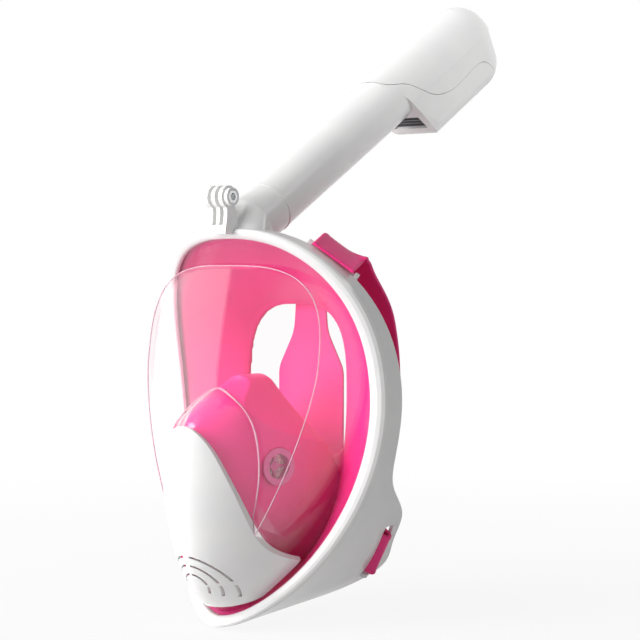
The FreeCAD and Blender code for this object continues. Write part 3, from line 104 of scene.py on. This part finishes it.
def moulded_finish(name, inputs, broad, fine=None, tones=None, sheen=None, relief=None):
    """Material whose tone and sheen follow a broad noise and whose relief follows a fine one.

    broad and fine are noises, each as (size in mm, detail). Without fine, the relief follows broad.
    tones are two hex colours, sheen is the lowest and the highest roughness, and relief is (depth
    in mm, strength). The inputs are what is the same all over the surface.
    """
    material = bpy.data.materials.new(name)
    material.use_nodes = True
    tree = material.node_tree
    tree.nodes.clear()
    place = add_node(tree, "ShaderNodeTexCoord").outputs["Object"]
    noises = [add_node(tree, "ShaderNodeTexNoise", {
        "Vector": place, "Scale": 1.0 / (size_mm * MM), "Detail": detail}).outputs["Fac"]
        for size_mm, detail in ([broad, fine] if fine else [broad])]
    inputs = dict(inputs)
    if tones:
        share = add_node(tree, "ShaderNodeMapRange", {
            "Value": noises[0], "From Min": NOISE_LOW, "From Max": NOISE_HIGH})
        blend = add_node(tree, "ShaderNodeMix", {
            0: share.outputs["Result"], 6: colour(tones[0]), 7: colour(tones[1])}, data_type="RGBA")
        inputs["Base Color"] = blend.outputs[2]
    if sheen:
        inputs["Roughness"] = add_node(tree, "ShaderNodeMapRange", {
            "Value": noises[0], "From Min": NOISE_LOW, "From Max": NOISE_HIGH,
            "To Min": sheen[0], "To Max": sheen[1]}).outputs["Result"]
    if relief:
        inputs["Normal"] = add_node(tree, "ShaderNodeBump", {
            "Height": noises[-1], "Distance": relief[0] * MM, "Strength": relief[1]}).outputs["Normal"]
    shader = add_node(tree, "ShaderNodeBsdfPrincipled", inputs)
    add_node(tree, "ShaderNodeOutputMaterial", {"Surface": shader.outputs[0]})
    return material


def dress(material, *names):
    """Puts a material on CAD pieces."""
    for name in names:
        nodes[name].data.materials.clear()
        nodes[name].data.materials.append(material)
        for face in nodes[name].data.polygons:
            face.material_index = 0
    print(material.name, "on", ", ".join(names))


# %% [markdown]
# ## Glossy white ABS
# The frame, the snorkel and the chin cover are injection moulded ABS with a polished mould face.
# What the eye gets is a bright, slightly warm white, a sharp highlight that is a little soft at its
# edges, and a very faint waviness where the plastic shrank. ABS has an IOR of about 1.54. One flat
# white would do for a drawing, but it makes a moulding look like paper.

# %% White moulded ABS
white_abs = moulded_finish(
    "abs_moulded_gloss_white", {"IOR": 1.54}, broad=(35.0, 2.0), fine=(9.0, 1.0),
    tones=("#EFEFEF", "#F4F4F3"), sheen=(0.16, 0.24), relief=(0.05, 0.25))
dress(white_abs, "front_frame", "rear_frame", "chin_cover", "camera_mount", "snorkel_tube", "head_base",
      "head_cap", "port_plate", "float_cage", "tube_ring", "strap_bar_left", "strap_bar_right",
      "strap_pin_left", "strap_pin_right")

# %% [markdown]
# ## Clear polycarbonate
# The lens is one moulded shell of polycarbonate, clear and very smooth, with an IOR of 1.585. A
# thin wall bends light in and straight out again, so what lies behind looks hardly moved. A plain
# glass shader gets this only with many bounces and turns the creases black. Here the body of the
# shader lets light straight through, and a clear coat with polycarbonate's own IOR reflects. The
# lens casts no shadow either, because a clear window hardly dims what is inside.

# %% Clear lens
clear_body = {"Base Color": colour("#FDFBFC"), "IOR": 1.01, "Transmission Weight": 1.0}
clear_coat = {"Coat Weight": 0.7, "Coat IOR": 1.585, "Coat Roughness": 0.02}
dress(moulded_finish("polycarbonate_moulded_clear", clear_body | clear_coat, broad=(30.0, 1.0),
                     sheen=(0.01, 0.03), relief=(0.05, 0.15)), "lens")
nodes["lens"].visible_shadow = False

# %% [markdown]
# ## Pink silicone
# The face skirt, the nose pocket and the straps are moulded in liquid silicone. It is soft, satin
# and slightly translucent, so light goes a few millimetres in and comes out again, and the shadows
# stay warm. Silicone has an IOR of about 1.41. Its real grain is finer than a tenth of a
# millimetre, which would not show, so it is drawn at about a millimetre. Skirt and straps get two
# copies of one pink, lighter on the straps and darker on the skirt: painted light and shade.

# %% Silicone


def pink_silicone(name, deep, bright, grain_mm):
    soft = {"IOR": 1.41, "Subsurface Weight": 0.15, "Subsurface Scale": 4 * MM,
            "Subsurface Radius": (1.0, 0.4, 0.6)}
    return moulded_finish(name, soft, broad=(25.0, 2.0), fine=(grain_mm, 2.0), tones=(deep, bright),
                          sheen=(0.34, 0.46), relief=(0.04, 0.3))


# Painted light and shade: the straps' pink is lighter and the skirt's darker, to even out the light on
# each.
silicone = pink_silicone("silicone_moulded_pink", "#DF2A7C", "#E63283", 1.2)
strap_silicone_painted_light = pink_silicone("silicone_strap_painted_light_pink", "#F93587", "#FF3E8D", 0.8)
dress(silicone, "face_skirt", "nose_pocket")

# %% [markdown]
# ## Seats, grille, gasket and float
# These are mouldings with a fine spark-eroded texture: polypropylene in black, grey, rose and
# orange, and nitrile rubber for the gasket. They look matt, with a broad dull highlight. They differ
# only in colour, gloss, IOR and grain, so one function makes them all. The grain is drawn at about
# a millimetre, coarser than it is, so that it shows.

# %% Matt mouldings


def moulded_matt(name, dark, light, roughness, ior, grain_mm):
    """Textured moulded plastic or rubber between two tones."""
    return moulded_finish(name, {"Roughness": roughness, "IOR": ior}, broad=(grain_mm, 3.0),
                          tones=(dark, light), relief=(0.05, 0.5))


PP_IOR, NITRILE_IOR = 1.49, 1.52
dress(moulded_matt("polypropylene_moulded_black", "#141414", "#1E1E1F", 0.45, PP_IOR, 0.8),
      "purge_valve_seat")
dress(moulded_matt("polypropylene_moulded_grey", "#6C6B6E", "#77767A", 0.45, PP_IOR, 0.8),
      "intake_grille")
dress(moulded_matt("polypropylene_moulded_rose", "#C24A80", "#CE5C8E", 0.3, PP_IOR, 1.2),
      "inhale_valve_seat_left", "inhale_valve_seat_right")
dress(moulded_matt("nitrile_rubber_moulded_black", "#101010", "#191919", 0.6, NITRILE_IOR, 0.6),
      "socket_gasket")
dress(moulded_matt("polypropylene_moulded_orange", "#D9701E", "#E37A26", 0.4, PP_IOR, 1.5), "float")

# %% [markdown]
# ## Flaps, seals and nut
# The valve flaps and the float's seal are thin milky silicone: light passes, but nothing sharp is
# seen through. The nut is steel with a bright zinc plating, a metal that mirrors softly. Painting
# both in one grey would save a material, but the one glows and the other glints.

# %% Clear silicone and plated steel
milky = {"Base Color": colour("#E4E2DC"), "IOR": 1.41, "Transmission Weight": 0.6}
dress(moulded_finish("silicone_moulded_clear", milky, broad=(2.0, 3.0), sheen=(0.2, 0.35),
                     relief=(0.02, 0.3)),
      "purge_flap", "inhale_flap_left", "inhale_flap_right", "float_seal")
zinc = {"Base Color": colour("#D9DADC"), "Metallic": 1.0}
dress(moulded_finish("steel_zinc_plated", zinc, broad=(0.8, 3.0), sheen=(0.25, 0.4),
                     relief=(0.02, 0.4)), "mount_nut")

# %% [markdown]
# ## Head straps
# Two straps a side hold the mask: flat bands of silicone, 2 mm thick, with rounded edges. The upper
# one comes over its bar and falls behind the mask, the lower one turns round its pin in the jaw.
# A band could be a curve with a flat bevel, but a curve twists where it likes. Here each station
# along the strap says where its middle is and which way its width lies, and both are smoothed
# together, so the twist is ours.

# %% Smooth run through given vectors


def smooth_run(values, gaps, steps):
    """Smooth run of vectors through the given ones, the gaps being the distances between them."""
    slopes = []
    for i in range(len(values)):
        first, last = max(i - 1, 0), min(i, len(gaps) - 1)
        behind = (values[first + 1] - values[first]) / gaps[first]
        ahead = (values[last + 1] - values[last]) / gaps[last]
        slopes.append((behind * gaps[last] + ahead * gaps[first]) / (gaps[first] + gaps[last]))
    run = []
    for i, gap in enumerate(gaps):
        for step in range(steps):
            t = step / steps
            from_here = values[i] * (2 * t ** 3 - 3 * t ** 2 + 1)
            to_next = values[i + 1] * (3 * t ** 2 - 2 * t ** 3)
            leaving = slopes[i] * gap * (t ** 3 - 2 * t ** 2 + t)
            arriving = slopes[i + 1] * gap * (t ** 3 - t ** 2)
            run.append(from_here + to_next + leaving + arriving)
    run.append(values[-1].copy())
    return run


def gaps_between(points):
    return [(after - before).length for before, after in zip(points, points[1:])]


# %% [markdown]
# ## Section of a band
# A moulded band has half-round edges, and a low rim runs along each edge on both faces to keep it
# from tearing. A rectangle with a bevel would give the edge but not the rim, so the section is
# drawn once: a quarter of it by angles and steps, the rest by mirroring.

# %% Section of a band


def band_section(width, thickness, rim_height):
    """Section of a band as (across, out) pairs in mm."""
    half, deep = width / 2, thickness / 2
    rim_top, rim_foot = 1.2, 2.2  # from the start of the rounding towards the middle
    quarter = []
    for degrees in (0, 22, 45, 68, 90):
        turn = math.radians(degrees)
        quarter.append((half - deep + deep * math.cos(turn), (deep + rim_height) * math.sin(turn)))
    quarter += [(half - deep - rim_top, deep + rim_height), (half - deep - rim_foot, deep)]
    quarter += [(share * half, deep) for share in (0.5, 0.17)]
    upper = quarter + [(-x, y) for x, y in reversed(quarter)]
    return upper + [(x, -y) for x, y in reversed(upper[1:-1])]


# %% Finished piece from a mesh


def new_piece(name, bm, material, body):
    """Object from a bmesh, smooth, dressed and riding on a body."""
    bmesh.ops.recalc_face_normals(bm, faces=bm.faces)
    mesh = bpy.data.meshes.new(name)
    bm.to_mesh(mesh)
    bm.free()
    for face in mesh.polygons:
        face.use_smooth = True
    piece = bpy.data.objects.new(name, mesh)
    bpy.context.scene.collection.objects.link(piece)
    mesh.materials.append(material)
    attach(piece, body)
    print(name, len(mesh.polygons), "faces")
    return piece


# %% Band through stations
BAND_THICKNESS, BAND_RIM = 2.0, 0.3
END_ROUNDING = [(-0.25, 0.45), (-0.1, 0.8), (0.15, 1.0)]  # (way along, share of the height) at an end


def band(name, stations, width, steps=7):
    """Strap swept through stations, each a middle in millimetres and a direction across."""
    points = [Vector(middle) * MM for middle, across in stations]
    gaps = gaps_between(points)
    middles = smooth_run(points, gaps, steps)
    sides = smooth_run([Vector(across).normalized() for middle, across in stations], gaps, steps)
    section = band_section(width, BAND_THICKNESS, BAND_RIM)
    last = len(middles) - 1
    bm = bmesh.new()
    rings = []
    for i, (middle, side) in enumerate(zip(middles, sides)):
        ahead = (middles[min(i + 1, last)] - middles[max(i - 1, 0)]).normalized()
        side = (side - ahead * side.dot(ahead)).normalized()
        out = side.cross(ahead)
        places = [(0.0, 1.0)]
        if i == 0:
            places = END_ROUNDING
        if i == last:
            places = [(-shift, share) for shift, share in reversed(END_ROUNDING)]
        for shift, share in places:
            centre = middle + ahead * (shift * BAND_THICKNESS * MM)
            rings.append([bm.verts.new(centre + side * (x * MM) + out * (y * share * MM))
                          for x, y in section])
    count = len(section)
    for first, second in zip(rings, rings[1:]):
        for k in range(count):
            bm.faces.new((first[k], first[(k + 1) % count], second[(k + 1) % count], second[k]))
    bm.faces.new(rings[0])
    bm.faces.new(rings[-1])
    return new_piece(name, bm, strap_silicone_painted_light, "mask")


# %% What the straps hang on


def rod_ends(node):
    """Centres of a CAD rod's two end faces in mm, the upper one first."""
    corners = sorted({tuple(round(c, 7) for c in vertex.co) for vertex in nodes[node].data.vertices})
    middle = sum(z for x, y, z in corners) / len(corners)
    ends = []
    for group in ([p for p in corners if p[2] > middle], [p for p in corners if p[2] <= middle]):
        ends.append(Vector([sum(axis) / len(group) for axis in zip(*group)]) / MM)
    print(node, "ends at", [[round(c, 1) for c in end] for end in ends])
    return ends


def square_to(along, direction):
    """The direction made square to a rod."""
    direction = Vector(direction)
    return (direction - along * along.dot(direction)).normalized()


def left_and_right(stations):
    """The stations as given, and mirrored to the wearer's right."""
    other = [((-x, y, z), (a, -b, -c)) for (x, y, z), (a, b, c) in stations]
    return {"left": stations, "right": other}


# %% [markdown]
# ## Upper straps
# Each upper strap passes over its bar, bends down close behind the frame and ends in the pad. The
# bar's place comes from the CAD model, so the first stations follow it. The others are the strap's
# route through the air, given one by one.

# %% Upper straps
UPPER_WIDTH = 33.0
bar_top, bar_foot = rod_ends("strap_bar_left")
bar_middle = (bar_top + bar_foot) / 2
bar_along = (bar_foot - bar_top).normalized()
bar_up = square_to(bar_along, (0, 0, 1))
bar_back = square_to(bar_along, (0, 1, 0))
over_bar = [(-9.0, 5.9), (-3.0, 6.6), (4.0, 7.2), (10.0, 7.0)]  # back from the bar and above it
upper_path = [(tuple(bar_middle + bar_back * back + bar_up * rise), tuple(bar_along))
              for back, rise in over_bar]
upper_path += [((62.6, -27, 116.6), (0.70, 0.43, -0.57)), ((60.9, -22.5, 112), (0.71, 0.43, -0.56)),
               ((60, -17, 104.5), (0.72, 0.43, -0.54)), ((60, -8, 91), (0.75, 0.4, -0.5)),
               ((62, -1, 76), (0.80, 0.37, -0.45)), ((63.5, 3, 58), (0.88, 0.33, -0.32)),
               ((64, 5.5, 38), (0.93, 0.3, -0.2)), ((62, 7.7, 10), (0.9, 0.2, -0.3)),
               ((56, 9.7, -13), (0.8, 0.05, -0.6)), ((44, 10.7, -31), (0.62, 0, -0.78)),
               ((26, 10.7, -44), (0.55, 0, -0.83))]
for side_name, stations in left_and_right(upper_path).items():
    strap = band("strap_upper_band_" + side_name, stations, UPPER_WIDTH)
    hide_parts("upper_strap_" + side_name)

# %% [markdown]
# ## Lower straps
# Each lower strap comes out through the slot in the jaw, turns round its pin and goes back in to the
# pad. The turn is wider on the outside of the jaw, where it shows as a patch, than on the inside, so
# it is part of an oval. A circle would pull it tight on the pin and hide it in the slot.

# %% Lower straps
LOWER_WIDTH = 34.0
TURN_DEPTH, TURN_OUTSIDE, TURN_INSIDE = 3.4, 7.2, 2.9  # the oval's reach from the pin's middle line
pin_top, pin_foot = rod_ends("strap_pin_left")
pin_middle = (pin_top + pin_foot) / 2
pin_along = (pin_top - pin_foot).normalized()
pin_out = pin_along.cross(Vector((0, 1, 0))).normalized()
if pin_out.x < 0:
    pin_out = -pin_out
pin_back = square_to(pin_along, (0, 1, 0))
lower_path = []
for degrees in (-150, -115, -80, -45, -10, 25, 60, 90):
    turn = math.radians(degrees)
    reach = TURN_OUTSIDE if abs(degrees) < 90 else TURN_INSIDE
    place = pin_middle + pin_out * reach * math.cos(turn) + pin_back * TURN_DEPTH * math.sin(turn)
    lower_path.append((tuple(place), tuple(pin_along)))
off_the_pin = pin_middle + Vector((-9, 5.4, 4))
lower_path += [(tuple(off_the_pin), (0.5, 0, 0.85)),
               ((36, 19.3, -77), (0.35, 0, 0.93)), ((20, 15.3, -62), (0.4, 0, 0.9))]
for side_name, stations in left_and_right(lower_path).items():
    strap = band("strap_lower_band_" + side_name, stations, LOWER_WIDTH)
    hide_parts("lower_strap_" + side_name)

# %% [markdown]
# ## Strap pad
# The straps meet behind the head in one moulded plate of silicone. It is narrow towards the crown,
# widest behind the head and a little narrower at the neck, with a raised rim that keeps its edge
# from tearing. A scaled cube could be carved into it, but its rounded outline is drawn more simply
# as corners with radii. The outline is extruded, its edges are bevelled, and the back face is inset
# and pressed in to leave the rim.

# %% Outline with round corners


def rounded_corners(corners, steps=6):
    """Outline with each (x, z, radius) corner turned into an arc."""
    outline = []
    count = len(corners)
    for i, (x, z, radius) in enumerate(corners):
        corner = Vector((x, z))
        before = (Vector(corners[i - 1][:2]) - corner).normalized()
        after = (Vector(corners[(i + 1) % count][:2]) - corner).normalized()
        half = before.angle(after) / 2
        centre = corner + (before + after).normalized() * (radius / math.sin(half))
        start = corner + before * (radius / math.tan(half)) - centre
        end = corner + after * (radius / math.tan(half)) - centre
        sweep = start.angle(end)
        for step in range(steps + 1):
            t = step / steps
            point = (start * math.sin((1 - t) * sweep) + end * math.sin(t * sweep)) / math.sin(sweep)
            outline.append(centre + point)
    return outline


# %% Strap pad
PAD_FRONT, PAD_THICKNESS = 12.0, 2.0
PAD_BEVEL, PAD_RIM_WIDTH, PAD_RIM_SLOPE, PAD_RIM_HEIGHT = 0.8, 3.5, 0.6, 0.6
LEVEL = 1e-7  # metres; ends of an edge closer than this in depth lie in one flat face
WIDE_FACE = 1e-4  # square metres; only the front and the back of the pad are larger


def strap_pad(right_half):
    """Plate from the right half of its outline, with a raised rim on its back."""
    left_half = [(-x, z, radius) for x, z, radius in reversed(right_half)]
    bm = bmesh.new()
    front_face = bm.faces.new([bm.verts.new((point.x * MM, PAD_FRONT * MM, point.y * MM))
                               for point in rounded_corners(right_half + left_half)])
    sides = bmesh.ops.extrude_face_region(bm, geom=[front_face])
    moved = [item for item in sides["geom"] if isinstance(item, bmesh.types.BMVert)]
    bmesh.ops.translate(bm, vec=(0, PAD_THICKNESS * MM, 0), verts=moved)
    edges = [edge for edge in bm.edges if abs(edge.verts[0].co.y - edge.verts[1].co.y) < LEVEL]
    bmesh.ops.bevel(bm, geom=edges, offset=PAD_BEVEL * MM, segments=3, profile=0.5, affect="EDGES")
    wide = [face for face in bm.faces if face.calc_area() > WIDE_FACE]
    back_face = max(wide, key=lambda face: face.calc_center_median().y)
    bmesh.ops.inset_region(bm, faces=[back_face], thickness=PAD_RIM_WIDTH * MM, depth=0.0)
    bmesh.ops.inset_region(bm, faces=[back_face], thickness=PAD_RIM_SLOPE * MM,
                           depth=-PAD_RIM_HEIGHT * MM)
    return new_piece("strap_pad_plate", bm, strap_silicone_painted_light, "mask")


pad = strap_pad([(13, 86, 7), (15, 60, 30), (29, 34, 20), (29, -30, 24), (18, -78, 12)])
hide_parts("strap_pad")

# %% [markdown]
# ## Face skirt and nose pocket
# Moulded silicone has no hard corner: every edge is rolled, and one surface flows into the next.
# The CAD solids give the sizes. Bevelling their edges one by one would fail where many meet. Each
# solid is copied instead, built again from small cubes of volume with the Remesh modifier, and
# smoothed, which rounds its edges by about a millimetre. The pocket's opening also follows a face:
# high and far forward at the bridge of the nose, then down and back over the cheeks, so that part is
# cut from the copy first.

# %% Cheek line of the nose pocket


def cheek_cutter():
    """Block behind the line where the pocket meets nose and cheeks, a (y, z) profile in mm."""
    points = [Vector(p) for p in ((-43, 60), (-42, 36), (-38, 20), (-31, 5), (-22, -9), (-10, -25),
                                  (6, -43))]
    line = smooth_run(points, gaps_between(points), 6)
    profile = [(p.x, p.y) for p in line] + [(30, -43), (30, 60)]
    bm = bmesh.new()
    ends = [[bm.verts.new((x * MM, y * MM, z * MM)) for y, z in profile] for x in (-80, 80)]
    for i in range(len(profile)):
        k = (i + 1) % len(profile)
        bm.faces.new((ends[0][i], ends[0][k], ends[1][k], ends[1][i]))
    for end in ends:
        bm.faces.new(end)
    bmesh.ops.recalc_face_normals(bm, faces=bm.faces)
    mesh = bpy.data.meshes.new("cheek_cutter")
    bm.to_mesh(mesh)
    bm.free()
    return bpy.data.objects.new("cheek_cutter", mesh)


# %% Lower edge of the nose pocket
SPREAD_Y = (-30.0, -4.0)  # the spread grows from none to all between these depths
SPREAD_Z = (-45.0, -80.0)  # and between these heights
SPREAD_DOWN, SPREAD_WIDER = 6.5, 0.05


def smooth_step(value, start, end):
    """0 before the start, 1 after the end, and a soft change between them."""
    share = min(max((value - start) / (end - start), 0.0), 1.0)
    return share * share * (3 - 2 * share)


def meet_the_skirt(point):
    """Spreads the pocket's lower rear edge until it meets the skirt below the chin."""
    share = smooth_step(point.y / MM, *SPREAD_Y) * smooth_step(point.z / MM, *SPREAD_Z)
    return Vector((point.x * (1 + SPREAD_WIDER * share), point.y,
                   point.z - SPREAD_DOWN * MM * share))


# %% Soft copies of the CAD solids


def soft_copy(name, node, voxel_mm, passes, cutter=None, spread=None):
    """Rounded copy of a CAD node, in the node's place."""
    piece = bpy.data.objects.new(name, nodes[node].data.copy())
    bpy.context.scene.collection.objects.link(piece)
    if cutter:
        bpy.context.scene.collection.objects.link(cutter)
        cut = piece.modifiers.new("cut", "BOOLEAN")
        cut.object, cut.operation, cut.solver = cutter, "DIFFERENCE", "EXACT"
    remesh = piece.modifiers.new("remesh", "REMESH")
    remesh.mode, remesh.voxel_size = "VOXEL", voxel_mm * MM
    relax = piece.modifiers.new("relax", "SMOOTH")
    relax.factor, relax.iterations = 0.5, passes
    bpy.context.view_layer.update()
    evaluated = piece.evaluated_get(bpy.context.evaluated_depsgraph_get())
    made = bpy.data.meshes.new_from_object(evaluated)
    piece.modifiers.clear()
    piece.data = made
    if cutter:
        bpy.data.objects.remove(cutter)
    if spread:
        for vertex in made.vertices:
            vertex.co = spread(vertex.co)
    made.materials.clear()
    made.materials.append(silicone)
    for face in made.polygons:
        face.use_smooth = True
        face.material_index = 0
    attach(piece, "mask")
    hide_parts(node)
    print(name, len(made.polygons), "faces")
    return piece


# The pocket's wall is thin, and cubes that are too large leave holes in it: 21 at 1.1 mm, and one too
# small to see at 0.8 mm. Cubes of 0.6 mm leave none, but make nearly twice the faces.
soft_copy("nose_pocket_soft", "nose_pocket", 0.8, 10, cheek_cutter(), meet_the_skirt)
soft_copy("face_skirt_soft", "face_skirt", 1.2, 3)

# %% [markdown]
# ## Polished creases of the lens
# Where the window meets the side walls, and where the snout folds, the lens has a crease that
# shows as a thin pale line of light. A bevel on the CAD lens would change its mesh, so a fine pale
# bead follows each crease instead, as a painted highlight. The lines are found by angle: an edge
# whose two faces meet at more than 18 degrees is part of a crease.

# %% Crease lines
CREASE_DEGREES = 18


def crease_lines(mesh, least_degrees):
    """Lines of sharp edges, each as its points in order."""
    bm = bmesh.new()
    bm.from_mesh(mesh)
    bmesh.ops.remove_doubles(bm, verts=bm.verts, dist=1e-6)
    sharp = {edge for edge in bm.edges
             if edge.is_manifold and edge.calc_face_angle() > math.radians(least_degrees)}
    lines = []
    for seed in sorted(sharp, key=lambda edge: edge.index):
        if seed not in sharp:
            continue
        sharp.discard(seed)
        points = [vert.co.copy() for vert in seed.verts]
        for point in (seed.verts[1], seed.verts[0]):
            while True:
                onward = [edge for edge in point.link_edges if edge in sharp]
                if len(onward) != 1:
                    break
                sharp.discard(onward[0])
                point = onward[0].other_vert(point)
                points.append(point.co.copy())
            points.reverse()
        lines.append(points)
    bm.free()
    return lines


lens_lines = crease_lines(nodes["lens"].data, CREASE_DEGREES)
print("crease lines on the lens:", len(lens_lines))

# %% The two creases that show
WINDOW_FRONT, WINDOW_TOP = -86.5, 90.0  # the window's crease passes both, forwards and upwards
SNOUT_HALF_WIDTH, SNOUT_TOP = 37.0, 20.0  # the snout's stays within the one and passes the other


def is_window_crease(line):
    return min(p.y for p in line) < WINDOW_FRONT * MM and max(p.z for p in line) > WINDOW_TOP * MM


def is_snout_crease(line):
    return max(abs(p.x) for p in line) < SNOUT_HALF_WIDTH * MM and max(p.z for p in line) > SNOUT_TOP * MM


window_line = max((line for line in lens_lines if is_window_crease(line)), key=len)
snout_line = max((line for line in lens_lines if is_snout_crease(line)), key=len)

# %% [markdown]
# ## Painted highlight on the creases
# The beads' pale pink is a painted highlight and a painted reflection: it stands in for the light
# that a polished crease of clear polycarbonate gathers, and for the skirt's pink that it mirrors.
# The beads let some light through, with the lens's own IOR of 1.585.

# %% Crease beads
# Pale pink beads: a painted highlight on the creases, and a painted reflection of the skirt.
crease_highlight_paint = moulded_finish(
    "polycarbonate_crease_painted_highlight", {"Roughness": 0.15, "IOR": 1.585, "Transmission Weight": 0.35},
    broad=(12.0, 1.0), tones=("#F2BFD5", "#F8D6E4"))


def bead_along(name, points, radius_mm):
    """Thin round bead along a line of points."""
    curve = bpy.data.curves.new(name, "CURVE")
    curve.dimensions = "3D"
    curve.bevel_depth = radius_mm * MM
    curve.bevel_resolution = 2
    curve.use_fill_caps = True
    spline = curve.splines.new("POLY")
    spline.points.add(len(points) - 1)
    for spot, point in zip(spline.points, points):
        spot.co = (*point, 1.0)
    piece = bpy.data.objects.new(name, curve)
    bpy.context.scene.collection.objects.link(piece)
    curve.materials.append(crease_highlight_paint)
    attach(piece, "mask")
    print(name, "of", len(points), "points")
    return piece


for name, line, radius_mm in (("lens_window_crease", window_line, 0.4),
                              ("lens_snout_crease", snout_line, 0.35)):
    bead = bead_along(name, line, radius_mm)

# %% [markdown]
# ## Studio
# The mask hangs as on a face, so the floor lies just under it. Floor and sky show pure white to the
# camera, in mirrors and through glass, but light the mask at a plain, lower level. Lighting it with
# a pure white sky instead would wash out every shape. The floor keeps the mask's soft shadow close
# by, and fades to pure white further out, so that no horizon shows.

# %% Sky


def white_to_the_eye(tree):
    """1 where the camera looks at something directly, in a reflection or through the lens."""
    path = add_node(tree, "ShaderNodeLightPath").outputs
    mirrored = add_node(tree, "ShaderNodeMath", {0: path["Is Camera Ray"], 1: path["Is Glossy Ray"]},
                        operation="MAXIMUM")
    seen = add_node(tree, "ShaderNodeMath", {0: mirrored.outputs[0], 1: path["Is Transmission Ray"]},
                    operation="MAXIMUM")
    return seen.outputs[0]


def studio_sky(light_level):
    world = bpy.data.worlds.new("studio")
    bpy.context.scene.world = world
    world.use_nodes = True
    tree = world.node_tree
    tree.nodes.clear()
    plain, white = [add_node(tree, "ShaderNodeBackground", {"Color": colour("#FFFFFF"), "Strength": level})
                    for level in (light_level, 1.0)]
    mix = add_node(tree, "ShaderNodeMixShader", {0: white_to_the_eye(tree), 1: plain.outputs[0],
                                                 2: white.outputs[0]})
    add_node(tree, "ShaderNodeOutputWorld", {"Surface": mix.outputs[0]})
    print("sky lights at", light_level)


studio_sky(0.27)

# %% Floor
FLOOR_HALF, FLOOR_BELOW = 6.0, 0.002
FADE_START, FADE_END, GLOW_NEAR = 0.2, 0.9, 0.9  # distances from the middle, share of glow up to there


def paper_backdrop():
    """White paper that glows to the eye, nearly all near the mask and all further out."""
    material = bpy.data.materials.new("paper_backdrop_white")
    material.use_nodes = True
    tree = material.node_tree
    tree.nodes.clear()
    paper = add_node(tree, "ShaderNodeBsdfDiffuse", {"Color": colour("#DEDEDE")})
    glow = add_node(tree, "ShaderNodeEmission", {"Color": colour("#FFFFFF"), "Strength": 1.0})
    place = add_node(tree, "ShaderNodeTexCoord").outputs["Object"]
    away = add_node(tree, "ShaderNodeVectorMath", {0: place}, operation="LENGTH").outputs["Value"]
    fade = add_node(tree, "ShaderNodeMapRange", {
        "Value": away, "From Min": FADE_START, "From Max": FADE_END, "To Min": GLOW_NEAR, "To Max": 1.0})
    share = add_node(tree, "ShaderNodeMath", {0: white_to_the_eye(tree), 1: fade.outputs["Result"]},
                     operation="MULTIPLY")
    mix = add_node(tree, "ShaderNodeMixShader", {0: share.outputs[0], 1: paper.outputs[0],
                                                 2: glow.outputs[0]})
    add_node(tree, "ShaderNodeOutputMaterial", {"Surface": mix.outputs[0]})
    return material


def studio_floor(level):
    mesh = bpy.data.meshes.new("floor")
    corners = [(x * FLOOR_HALF, y * FLOOR_HALF, level) for x, y in ((-1, -1), (1, -1), (1, 1), (-1, 1))]
    mesh.from_pydata(corners, [], [(0, 1, 2, 3)])
    mesh.materials.append(paper_backdrop())
    floor = bpy.data.objects.new("floor", mesh)
    bpy.context.scene.collection.objects.link(floor)
    print("floor at", round(level, 4))


studio_floor(cad_low[2] - FLOOR_BELOW)

# %% [markdown]
# ## Lamps
# Glossy white plastic is all highlights, so the lamps are large and soft. The key lamp stands high
# in front and to the wearer's right. The front lamp fills the face of the mask. It isn't mirrored,
# because it would lie as a white rectangle on the window. The window lamp is weak and stands where
# the curved lens mirrors it as a pale band. A small narrow lamp picks out the snorkel's head.

# %% Lamps


def soft_lamp(name, place, aim, width, height, power, spread=180.0, mirrored=True):
    light = bpy.data.lights.new(name, "AREA")
    light.spread = math.radians(spread)
    light.shape = "RECTANGLE"
    light.size = width
    light.size_y = height
    light.energy = power
    lamp = bpy.data.objects.new(name, light)
    lamp.location = place
    lamp.visible_glossy = lamp.visible_transmission = mirrored
    lamp.rotation_euler = (Vector(aim) - Vector(place)).to_track_quat("-Z", "Y").to_euler()
    bpy.context.scene.collection.objects.link(lamp)
    print(name, "lamp of", power, "W")


target = Vector((0.0, -0.080, 0.0))
snorkel_head = (0.0, 0.18, 0.27)
soft_lamp("key", (-0.9, -1.6, 1.5), target, width=1.2, height=1.2, power=27.0)
soft_lamp("front", (-0.7, -2.2, 0.15), target, width=1.0, height=1.4, power=46.0, mirrored=False)
soft_lamp("window", (-1.29, -0.85, 0.15), target, width=0.85, height=1.3, power=7.0)
soft_lamp("head", (0.60, 0.30, 0.62), snorkel_head, width=0.30, height=0.30, power=0.16, spread=34.0)

# %% [markdown]
# ## Camera
# A product is best seen through a long lens from about its own height, which keeps its
# proportions true. A short lens close by would swell the window. The camera stands 1.3 m from the
# mask, well round to the wearer's left and a little above, and looks past its middle, so that the
# snorkel fits in too.

# %% Camera
AZIMUTH, ELEVATION, DISTANCE = 42.0, 5.0, 1.3
LOOK_RIGHT, LOOK_UP = 0.0653, 0.0700
FOCAL_LENGTH, SENSOR_WIDTH = 109.7, 36.0  # millimetres, as on a real camera


def studio_camera():
    azimuth, elevation = math.radians(AZIMUTH), math.radians(ELEVATION)
    back = Vector((math.sin(azimuth) * math.cos(elevation), -math.cos(azimuth) * math.cos(elevation),
                   math.sin(elevation)))
    right = Vector((math.cos(azimuth), math.sin(azimuth), 0.0))
    up = back.cross(right)
    aim = target + right * LOOK_RIGHT + up * LOOK_UP
    data = bpy.data.cameras.new("camera")
    data.lens = FOCAL_LENGTH
    data.sensor_width = SENSOR_WIDTH
    camera = bpy.data.objects.new("camera", data)
    camera.location = target + back * DISTANCE
    camera.rotation_euler = (aim - camera.location).to_track_quat("-Z", "Y").to_euler()
    bpy.context.scene.collection.objects.link(camera)
    bpy.context.scene.camera = camera
    bpy.context.scene.view_settings.view_transform = "Standard"
    print("camera at", [round(c, 3) for c in camera.location])


studio_camera()
